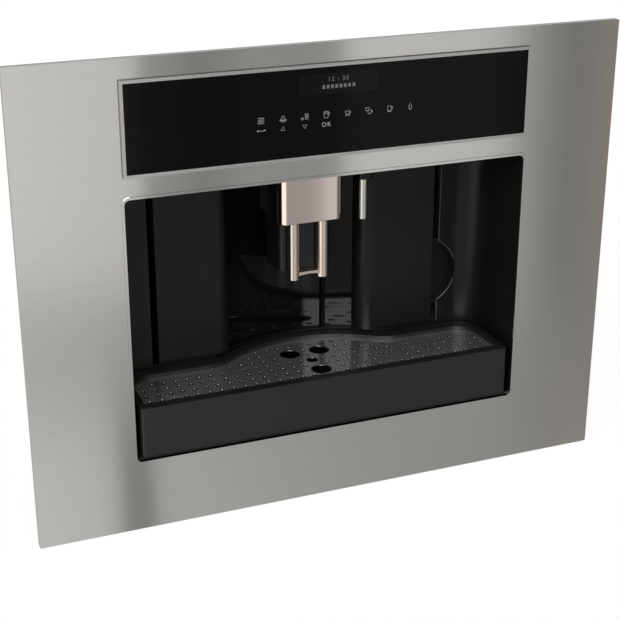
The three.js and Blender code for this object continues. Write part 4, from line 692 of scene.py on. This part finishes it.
class COFFEE_OT_touch_strip(bpy.types.Operator):
    """Dark touch glass with its printed marks and the display's film, numbers and bars"""

    bl_idname = "coffee.touch_strip"
    bl_label = "Touch Strip"

    def execute(self, context):
        dress("touch glass", "control_glass")
        self.add_marks(context.scene.coffee_sizes)
        film = bmesh.new()
        raised_block(film, (FILM_LEFT, -FILM_LIFT, FILM_LOW), (FILM_RIGHT, 0, FILM_HIGH))
        self.add_print("display_film", film, "display film")
        bars = bmesh.new()
        for index in range(BARS):
            left = FIRST_BAR + index * BAR_PITCH
            raised_block(bars, (left, -BAR_LIFT, BAR_LOW), (left + BAR_WIDTH, -MARK_LIFT, BAR_HIGH))
        join_shapes(bars, lettering("12 : 30", CLOCK_X, -CLOCK_LIFT, CLOCK_ROW))
        self.add_print("display_numbers", bars, "display mark")
        return {"FINISHED"}

    def add_marks(self, sizes):
        """Both rows of touch marks in one piece of print."""
        strokes = []
        for row, marks in ((MARK_ROW, MARKS), (LOWER_ROW, LOWER_MARKS)):
            for index, mark in enumerate(marks.values()):
                middle = FIRST_MARK + index * sizes.mark_pitch
                strokes += [[(middle + x * MM, row + z * MM) for x, z in line] for line in mark]
        shape = strokes_shape("Touch marks", strokes, sizes.stroke)
        join_shapes(shape, lettering("OK", FIRST_MARK + len(LOWER_MARKS) * sizes.mark_pitch, 0, LOWER_ROW))
        bmesh.ops.scale(shape, verts=shape.verts, vec=(1, MARK_THICKNESS, 1))
        bmesh.ops.translate(shape, verts=shape.verts, vec=(0, -MARK_LIFT, 0))
        self.add_print("touch_marks", shape, "printed mark")

    def add_print(self, name, shape, material):
        """A shape made round the middle of the fascia, as a piece on the glass."""
        bmesh.ops.translate(shape, verts=shape.verts, vec=(0, GLASS_FACE, FASCIA_MIDDLE))
        placed(name, shape, material, "machine")


# -------------------- niche, spout, tray and tank

SHADED_JAMB_DEPTH = 0.0027  # painted shade: the recess's side is near-black this far to the right of its left end
FINGER_LEFT, FINGER_RIGHT = 0.15, 0.19  # the finger recess's rim lies between these x
RIM_WIDTH = 0.0011


class COFFEE_OT_niche(bpy.types.Operator):
    """Moulded cup niche, service door and the polished recess behind the spout"""

    bl_idname = "coffee.niche"
    bl_label = "Cup Niche"

    def execute(self, context):
        edge = context.scene.coffee_sizes.edge
        softened("niche_shell", "niche_lining", "niche plastic", "machine", edge)
        softened("door_shell", "door_moulding", "niche plastic", "service_door", edge)
        softened("mirror_panel", "polished_panel", "gloss black", "service_door")
        side = softened("recess_side", "polished_side", "gloss black", "machine")
        # The left end of the recess's side is painted shade in near-black.
        second_finish(side, "painted shade black", 0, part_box("recess_side")[0].x + SHADED_JAMB_DEPTH)
        self.add_finger_rim()
        # Painted shade: the nozzle's block is near-black because it sits in shadow.
        dress("gloss black", "nozzle_block")
        dress("hidden plastic", "spout_bracket")
        dress("rail steel", "door_hinge_pin")
        return {"FINISHED"}

    def add_finger_rim(self):
        """A fine pale bead round the finger recess in the rear wall: a painted highlight on the recess's
        edge.
        """
        shape = merged_solid("niche_shell")
        rims = [[(vert.co.x, vert.co.z) for vert in rim.verts]
                for rim in face_rims(shape, 1, DOOR_FACE, 0.5)
                if all(FINGER_LEFT < vert.co.x < FINGER_RIGHT for vert in rim.verts)]
        shape.free()
        bead("finger_rim_highlight", rims, RIM_WIDTH, DOOR_FACE + 0.1 * MM,
             "painted highlight plastic", "machine")


SLEEVE_SNAP = 0.0006  # corners of the sleeve this near its box are drawn onto it, for straight walls
SLEEVE_FRONT = 0.0001  # corners this near the front are of the front
FRONT_LEAN = 0.0078  # slope of the sleeve's front, which is pressed a little out of square
CHEEK = 0.0003  # thickness of the dark sheet on each of the sleeve's sides


class COFFEE_OT_spout(bpy.types.Operator):
    """Spout head, its tubes and black core, and the hot-water nozzle"""

    bl_idname = "coffee.spout"
    bl_label = "Spout and Nozzle"

    def execute(self, context):
        edge = context.scene.coffee_sizes.edge
        low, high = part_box("spout_sleeve")
        head = softened("spout_sleeve", "spout_head", "spout metal", "service_door", edge)
        for vert in head.data.vertices:
            for axis, plane in ((0, low.x), (0, high.x), (1, low.y)):
                if abs(vert.co[axis] - plane) < SLEEVE_SNAP:
                    vert.co[axis] = plane
            if vert.co.y < low.y + SLEEVE_FRONT:
                vert.co.y += (vert.co.x - low.x) * FRONT_LEAN
        softened("spout_core", "spout_black_core", "core plastic", "spout", edge)
        cheeks = bmesh.new()
        for outer, inner in ((low.x - CHEEK, low.x), (high.x, high.x + CHEEK)):
            raised_block(cheeks, (outer, low.y + 9 * MM, low.z + 0.6 * MM),
                         (inner, high.y - MM, high.z - MM))
        placed("spout_cheeks", cheeks, "core plastic", "service_door")
        softened("spout_tubes", "spout_bright_tubes", "polished metal", "spout", angle=40)
        softened("hot_water_nozzle", "nozzle_tube", "nozzle chrome", "machine", angle=40)
        return {"FINISHED"}


FLOAT_TIP = 0.006  # height of the float's red tip
DRAIN_RADIUS = 0.003  # holes wider than this are drains
HOLE_SIDES, DRAIN_SIDES = 16, 48
HOLE_DIMPLE = 0.8  # width of a small hole's dimple, against a drain's
DIMPLE_RINGS = ((1, 0), (0.4, 0.36), (0, 0.95))  # reach out of the hole and drop, in widths of the dimple
THROAT_FLARE = 0.00005  # how much tighter a hole is at its foot
# Each hole's throat is near-black painted shade, and the rims of the holes and drains take darker copies of
# the grille's steel, also painted shade.
PLATE_FINISHES = ("grille steel", "drain shade steel", "painted shade black", "dimple shade steel")
SHEET, DRAIN_RIM, SHADED_THROAT, HOLE_RIM = range(len(PLATE_FINISHES))


class COFFEE_OT_drip_tray(bpy.types.Operator):
    """Drip tray, steel grille with a dimple pressed round every hole, and the red float"""

    bl_idname = "coffee.drip_tray"
    bl_label = "Drip Tray"

    def execute(self, context):
        sizes = context.scene.coffee_sizes
        softened("drip_tray", "tray_moulding", "tray plastic", "tray", sizes.edge)
        self.add_plate(sizes.dimple)
        pin = softened("tray_float", "float_pin", "red plastic", "float")
        second_finish(pin, "hidden plastic", 2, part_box("tray_float")[1].z - FLOAT_TIP)
        return {"FINISHED"}

    def add_plate(self, dimple):
        """The grille on its solid's outline, with a dimple and a throat of painted shade at every hole."""
        solid = merged_solid("grille")
        runs = sorted(closed_runs(face_rims(solid, 2, GRILLE_HIGH.z, 0.1)), key=len, reverse=True)
        solid.free()
        plate = bmesh.new()
        rim = [(corner.x, corner.y) for corner in runs[0]]
        above, upper = ring(plate, rim, GRILLE_HIGH.z)
        below, lower = ring(plate, rim, GRILLE_LOW.z)
        wall(plate, above, below, SHEET)
        for run in runs[1:]:
            top, foot = self.add_hole(plate, run, dimple)
            upper += top
            lower += foot
        for edges, normal in ((upper, (0, 0, 1)), (lower, (0, 0, -1))):
            bmesh.ops.triangle_fill(plate, use_beauty=True, use_dissolve=False, edges=edges, normal=normal)
        bmesh.ops.recalc_face_normals(plate, faces=plate.faces)
        smoothed(plate, math.radians(28))
        piece = placed("grille_plate", plate, PLATE_FINISHES[SHEET], "tray_grille")
        for finish in PLATE_FINISHES[1:]:
            piece.data.materials.append(MATERIALS[finish])
        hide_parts("grille")

    def add_hole(self, plate, run, dimple):
        """A round hole where the solid's is, with its dimple; gives its upper and lower edges."""
        centre = sum(run, Vector()) / len(run)
        radius = max((corner - centre).length for corner in run)
        if radius < DRAIN_RADIUS:
            sides, width, rim = HOLE_SIDES, dimple * HOLE_DIMPLE, HOLE_RIM
        else:
            sides, width, rim = DRAIN_SIDES, dimple, DRAIN_RIM
        turns = [2 * math.pi * index / sides for index in range(sides)]
        steps = [(reach * width, drop * width) for reach, drop in DIMPLE_RINGS]
        steps.append((-THROAT_FLARE, GRILLE_HIGH.z - GRILLE_LOW.z))
        rings = []
        for reach, drop in steps:
            around = [(centre.x + (radius + reach) * math.cos(turn),
                       centre.y + (radius + reach) * math.sin(turn)) for turn in turns]
            rings.append(ring(plate, around, GRILLE_HIGH.z - drop))
        for upper, lower, finish in zip(rings, rings[1:], (rim, rim, SHADED_THROAT)):
            wall(plate, upper[0], lower[0], finish)
        return rings[0][1], rings[-1][1]


GRIP_HIGHLIGHT_HEIGHTS = ((0.2245, 0.2475), (0.2495, 0.2545))  # a painted highlight along the tank's edge stands beside the finger recess here


class COFFEE_OT_water_tank(bpy.types.Operator):
    """Water tank with its moulded front, lid and seat, and a painted highlight along the front's edge"""

    bl_idname = "coffee.water_tank"
    bl_label = "Water Tank"

    def execute(self, context):
        edge = context.scene.coffee_sizes.edge
        softened("tank_front", "tank_moulding", "niche plastic", "tank", edge)
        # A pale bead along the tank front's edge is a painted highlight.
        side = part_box("tank_front")[1].x - 0.4 * MM
        lines = [[(side, low), (side, high)] for low, high in GRIP_HIGHLIGHT_HEIGHTS]
        bead("grip_edge_highlight", lines, RIM_WIDTH, DOOR_FACE + 0.7 * MM,
             "painted highlight plastic", "tank")
        dress("clear plastic", "water_tank")
        dress("hidden plastic", "tank_lid", "tank_seat")
        return {"FINISHED"}


# -------------------- casing and inner works

SCREW_COLUMNS = (-0.214, 0.214)  # places of the screws, in metres from the machine's middle
SCREW_ROWS = (0.071, 0.352)
MIDDLE_ROW = 0.212
SIDE_SCREWS = (-0.155, 0.17)
TOP_SCREWS = (-0.14, 0.165)
SIDE_SHEET = 0.0013  # the side sheets stand this far outside the back sheet


class COFFEE_OT_casing(bpy.types.Operator):
    """Zinc-plated casing with its screws, rails, mounting base and mains inlet"""

    bl_idname = "coffee.casing"
    bl_label = "Casing and Rails"

    def execute(self, context):
        dress("zinc sheet", "mounting_base", "chassis_floor", "side_panel_left", "side_panel_right",
              "back_panel", "top_panel", "bulkhead")
        dress("rail steel", *(f"{member}_rail_{side}" for member in ("fixed", "middle", "inner")
                              for side in ("left", "right")))
        dress("hidden plastic", "power_inlet")
        dress("red plastic", "main_rocker")
        self.add_screws(context.scene.coffee_sizes.screw)
        return {"FINISHED"}

    def add_screws(self, radius):
        """Pan-head screws along the edges of the casing's sheets, each with a near-black cross on its head:
        painted shade for the cross recess.
        """
        heads, cross_shade = bmesh.new(), bmesh.new()
        for turn, place in self.screw_places():
            lift = Matrix.Translation(Vector(place)) @ turn
            head = lift @ Matrix.Translation((0, 0, radius * 0.2))
            recess = lift @ Matrix.Translation((0, 0, radius * 0.36))
            bmesh.ops.create_cone(heads, cap_ends=True, segments=20, radius1=radius, radius2=radius * 0.72,
                                  depth=radius * 0.4, matrix=head)
            for long, wide in ((0.9, 0.2), (0.2, 0.9)):
                bmesh.ops.create_cube(cross_shade, size=radius,
                                      matrix=recess @ Matrix.Diagonal((long, wide, 0.1, 1)))
        smoothed(heads, math.radians(30))
        placed("casing_screws", heads, "screw steel", "machine")
        placed("casing_screw_recess_shade", cross_shade, "painted shade black", "machine")

    def screw_places(self):
        """The turn that faces each screw out of its sheet, and the screw's place on the sheet."""
        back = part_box("back_panel")[1]
        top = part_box("top_panel")[1].z
        backward = Matrix.Rotation(-math.pi / 2, 4, "X")
        low, high = SCREW_ROWS
        places = [(backward, (x, back.y, z)) for x in SCREW_COLUMNS for z in (low, MIDDLE_ROW, high)]
        places += [(backward, (0, back.y, z)) for z in SCREW_ROWS]
        for out in (-1, 1):
            outward = Matrix.Rotation(out * math.pi / 2, 4, "Y")
            x = out * (back.x + SIDE_SHEET)
            places += [(outward, (x, y, z)) for y in SIDE_SCREWS for z in SCREW_ROWS]
        places += [(Matrix(), (x, y, top)) for x in SCREW_COLUMNS for y in TOP_SCREWS]
        return places


class COFFEE_OT_inner_works(bpy.types.Operator):
    """Brew group, grinder, hopper, boiler, pump, boards and hoses inside the casing"""

    bl_idname = "coffee.inner_works"
    bl_label = "Inner Works"

    def execute(self, context):
        dress("hidden plastic", "control_housing", "service_bay", "brew_frame", "brew_chamber",
              "grounds_container", "coffee_chute", "chute_flap", "bean_lid", "grind_knob", "flow_meter")
        dress("cast aluminium", "brew_piston", "grinder_housing", "boiler")
        dress("rail steel", "upper_burr", "lower_burr", "grinder_motor", "water_pump")
        dress("clear plastic", "bean_hopper")
        dress("circuit board", "touch_board", "power_board")
        dress("gloss black", "display_module")
        dress("rubber", "pump_mount", "suction_hose", "pressure_hose")
        return {"FINISHED"}


# -------------------- stage

# The room that metal and glass see, in greys and colours. The stops lie between two angles to the right.
NEAR_ANGLE, FAR_ANGLE = 5, 45
WARM_CORNER = (0.35, 0.3, 0.265)
WALL = (
    (0.0, 0.95), (0.1, 0.86), (0.23, 0.78), (0.244, 0.7), (0.25, 0.4), (0.285, 0.37), (0.307, 0.29),
    (0.33, 0.33), (0.36, 0.39), (0.435, 0.38), (0.456, 0.41), (0.463, 0.7), (0.49, 0.76), (0.602, 0.72),
    (0.622, 0.66), (0.642, 0.5), (0.66, 0.37), (0.695, 0.25), (0.712, 0.27), (0.735, (0.35, 0.31, 0.28)),
    (0.9, WARM_CORNER), (1.0, 0.13))
LOWER_WALL = (
    (0.0, 0.95), (0.06, 0.86), (0.1, 0.56), (0.17, 0.54), (0.22, 0.48), (0.6, 0.4), (0.7, 0.31),
    (1.0, WARM_CORNER))
GROUND = (
    (0.0, 0.95), (0.1, 0.76), (0.166, 0.71), (0.198, 0.66), (0.208, 0.38), (0.222, 0.25), (0.24, 0.28),
    (0.248, 0.55), (0.28, 0.57), (0.36, 0.52), (0.5, 0.44), (0.64, 0.385), (0.69, 0.34),
    (0.735, (0.4, 0.37, 0.34)), (1.0, WARM_CORNER))
LEFT_WALL = (0.5, 0.47, 0.44)
LOW_WINDOW = (1.35, 1.3, 1.22)
OVER_EYE = (0.14, 0.135, 0.13)
HIGH_WINDOW = (7.2, 7.3, 7.0)
BACK_WALL = (0.5, 0.5, 0.5)
CEILING = (0.6, 0.6, 0.6)


def ramp(tree, value, stops):
    """A colour or a grey for each value from 0 to 1, from stops along it."""
    node = tree.nodes.new("ShaderNodeValToRGB")
    elements = node.color_ramp.elements
    while len(elements) < len(stops):
        elements.new(0.5)
    for element, (place, colour) in zip(elements, stops):
        element.position = place
        element.color = (*colour, 1) if isinstance(colour, tuple) else (colour, colour, colour, 1)
    tree.links.new(value, node.inputs[0])
    return node.outputs[0]


def mixed(tree, factor, first, second):
    """Two colours, each a socket or written out, mixed by a factor."""
    node = tree.nodes.new("ShaderNodeMix")
    node.data_type = "RGBA"
    for place, value in ((0, factor), (6, first), (7, second)):
        feed(tree, node.inputs[place], (*value, 1) if isinstance(value, tuple) else value)
    return node.outputs[2]


def past(tree, angle, start, end):
    """Nought before one angle in degrees and one after another, with a soft step between them."""
    return mapped_range(tree, angle, math.radians(start), math.radians(end), smooth=True)


def between(tree, angle, low, high, soft):
    """One between two angles in degrees and nought outside them, with soft edges."""
    start, end = math.radians(high - soft), math.radians(high + soft)
    fall = mapped_range(tree, angle, start, end, 1.0, 0.0, smooth=True)
    return math_node(tree, "MULTIPLY", past(tree, angle, low - soft, low + soft), fall)


def studio_room(tree):
    """What metal and glass see of the room, by direction: pale wall, doorway, windows and dark corners."""
    split = tree.nodes.new("ShaderNodeSeparateXYZ")
    tree.links.new(tree.nodes.new("ShaderNodeTexCoord").outputs["Generated"], split.inputs[0])
    forward = math_node(tree, "MULTIPLY", split.outputs["Y"], -1.0)
    azimuth = math_node(tree, "ARCTAN2", split.outputs["X"], forward)
    height = math_node(tree, "ARCSINE", split.outputs["Z"])
    across = mapped_range(tree, azimuth, math.radians(NEAR_ANGLE), math.radians(FAR_ANGLE))
    wall, lower_wall, ground = (ramp(tree, across, stops) for stops in (WALL, LOWER_WALL, GROUND))
    room = mixed(tree, past(tree, height, -20, -22), wall, lower_wall)
    room = mixed(tree, past(tree, height, -24, -28), room, ground)
    room = mixed(tree, between(tree, azimuth, -112, 2, 2), room, LEFT_WALL)
    room = mixed(tree, between(tree, azimuth, -104, -38, 5), room, LOW_WINDOW)
    room = mixed(tree, past(tree, height, -2, 6), room, OVER_EYE)
    across, up = between(tree, azimuth, -38, 8, 1.5), between(tree, height, 7, 60, 2)
    room = mixed(tree, math_node(tree, "MULTIPLY", across, up), room, HIGH_WINDOW)
    room = mixed(tree, past(tree, math_node(tree, "ABSOLUTE", azimuth), 112, 135), room, BACK_WALL)
    return mixed(tree, past(tree, height, 52, 68), room, CEILING)


def build_world(scene, strength):
    """Even white to the camera, the room to metal and glass, and soft grey light elsewhere."""
    world = bpy.data.worlds.new("Studio")
    world.use_nodes = True
    scene.world = world
    tree = world.node_tree
    path = tree.nodes.new("ShaderNodeLightPath")
    glossy = mixed(tree, path.outputs["Is Glossy Ray"], (strength, strength, strength), studio_room(tree))
    white = math_node(tree, "MAXIMUM", path.outputs["Is Camera Ray"], path.outputs["Is Transmission Ray"])
    fed(tree, tree.nodes["Background"], Color=mixed(tree, white, glossy, (1.0, 1.0, 1.0)))


FLOOR_SIZE = 6
FLOOR_GAP = 0.0005  # between the floor and the machine
FLOOR_GREY = (0.7, 0.7, 0.7)
SEEN_FLOOR = (0.16, 0.16, 0.16)  # the camera sees this under a glow, and so white outside the shadows
FLOOR_GLOW = 0.9
LAMP_PLACE = (-1.5, -1.6, 1.9)
LAMP_WIDTH, LAMP_HEIGHT = 1.4, 1.0


class COFFEE_OT_stage(bpy.types.Operator):
    """Camera, pale floor, room and soft lamp"""

    bl_idname = "coffee.stage"
    bl_label = "Studio Stage"

    def execute(self, context):
        scene = context.scene
        scene.view_settings.view_transform = "Standard"
        build_world(scene, scene.coffee_studio.sky)
        self.add_camera(scene)
        self.add_floor(scene)
        self.add_lamp(scene)
        return {"FINISHED"}

    def add_camera(self, scene):
        studio = scene.coffee_studio
        lens = bpy.data.cameras.new("Camera")
        lens.sensor_width = 36
        lens.lens = studio.lens
        camera = bpy.data.objects.new("Camera", lens)
        camera.location = Vector(studio.camera_place) + Vector((0, FASCIA_FACE, FASCIA_MIDDLE))
        camera.rotation_euler = Euler((math.pi / 2 - studio.camera_dip, 0, -studio.camera_turn))
        scene.collection.objects.link(camera)
        scene.camera = camera

    def add_floor(self, scene):
        tree, shader, _ = new_material("studio floor", FLOOR_GREY, 0.0, 0.9)
        seen = tree.nodes.new("ShaderNodeLightPath").outputs["Is Camera Ray"]
        fed(tree, shader, Base_Color=mixed(tree, seen, FLOOR_GREY, SEEN_FLOOR), Emission_Color=(1, 1, 1, 1),
            Emission_Strength=math_node(tree, "MULTIPLY", seen, FLOOR_GLOW))
        shape = bmesh.new()
        bmesh.ops.create_grid(shape, x_segments=1, y_segments=1, size=FLOOR_SIZE)
        bmesh.ops.translate(shape, verts=shape.verts, vec=(0, 0, CAD_BOX[0][2] - FLOOR_GAP))
        mesh = bpy.data.meshes.new("Floor")
        shape.to_mesh(mesh)
        shape.free()
        mesh.materials.append(MATERIALS["studio floor"])
        floor = bpy.data.objects.new("Floor", mesh)
        floor.visible_glossy = False
        scene.collection.objects.link(floor)

    def add_lamp(self, scene):
        light = bpy.data.lights.new("Soft lamp", "AREA")
        light.shape = "RECTANGLE"
        light.size = LAMP_WIDTH
        light.size_y = LAMP_HEIGHT
        light.energy = scene.coffee_studio.soft_light
        lamp = bpy.data.objects.new("Soft lamp", light)
        lamp.location = LAMP_PLACE
        aim = Vector((0, FASCIA_FACE, FASCIA_MIDDLE)) - lamp.location
        lamp.rotation_euler = aim.to_track_quat("-Z", "Y").to_euler()
        scene.collection.objects.link(lamp)


class COFFEE_OT_finishes(bpy.types.Operator):
    """Every material of the machine"""

    bl_idname = "coffee.finishes"
    bl_label = "Finishes"

    def execute(self, context):
        build_materials(context.scene.coffee_finishes)
        return {"FINISHED"}


# -------------------- panel and run

SETTINGS = {"coffee_finishes": CoffeeFinishes, "coffee_sizes": CoffeeSizes, "coffee_studio": CoffeeStudio}
OPERATORS = (
    COFFEE_OT_finishes,
    COFFEE_OT_stage,
    COFFEE_OT_fascia,
    COFFEE_OT_touch_strip,
    COFFEE_OT_niche,
    COFFEE_OT_spout,
    COFFEE_OT_drip_tray,
    COFFEE_OT_water_tank,
    COFFEE_OT_casing,
    COFFEE_OT_inner_works,
)


class COFFEE_PT_panel(bpy.types.Panel):
    """Sizes, colours and steps of the coffee machine"""

    bl_idname = "COFFEE_PT_panel"
    bl_label = "Coffee Machine"
    bl_space_type = "VIEW_3D"
    bl_region_type = "UI"
    bl_category = "Coffee Machine"

    def draw(self, context):
        layout = self.layout
        for group in SETTINGS:
            settings = getattr(context.scene, group)
            column = layout.column(align=True)
            for name in settings.__annotations__:
                column.prop(settings, name)
        for operator in OPERATORS:
            layout.operator(operator.bl_idname)


def register():
    for cls in (*SETTINGS.values(), *OPERATORS, COFFEE_PT_panel):
        bpy.utils.register_class(cls)
    for name, cls in SETTINGS.items():
        setattr(bpy.types.Scene, name, bpy.props.PointerProperty(type=cls))


def unregister():
    for name in SETTINGS:
        delattr(bpy.types.Scene, name)
    for cls in reversed((*SETTINGS.values(), *OPERATORS, COFFEE_PT_panel)):
        bpy.utils.unregister_class(cls)


def main():
    register()
    for operator in OPERATORS:
        group, name = operator.bl_idname.split(".")
        getattr(getattr(bpy.ops, group), name)()


if __name__ == "__main__":
    main()
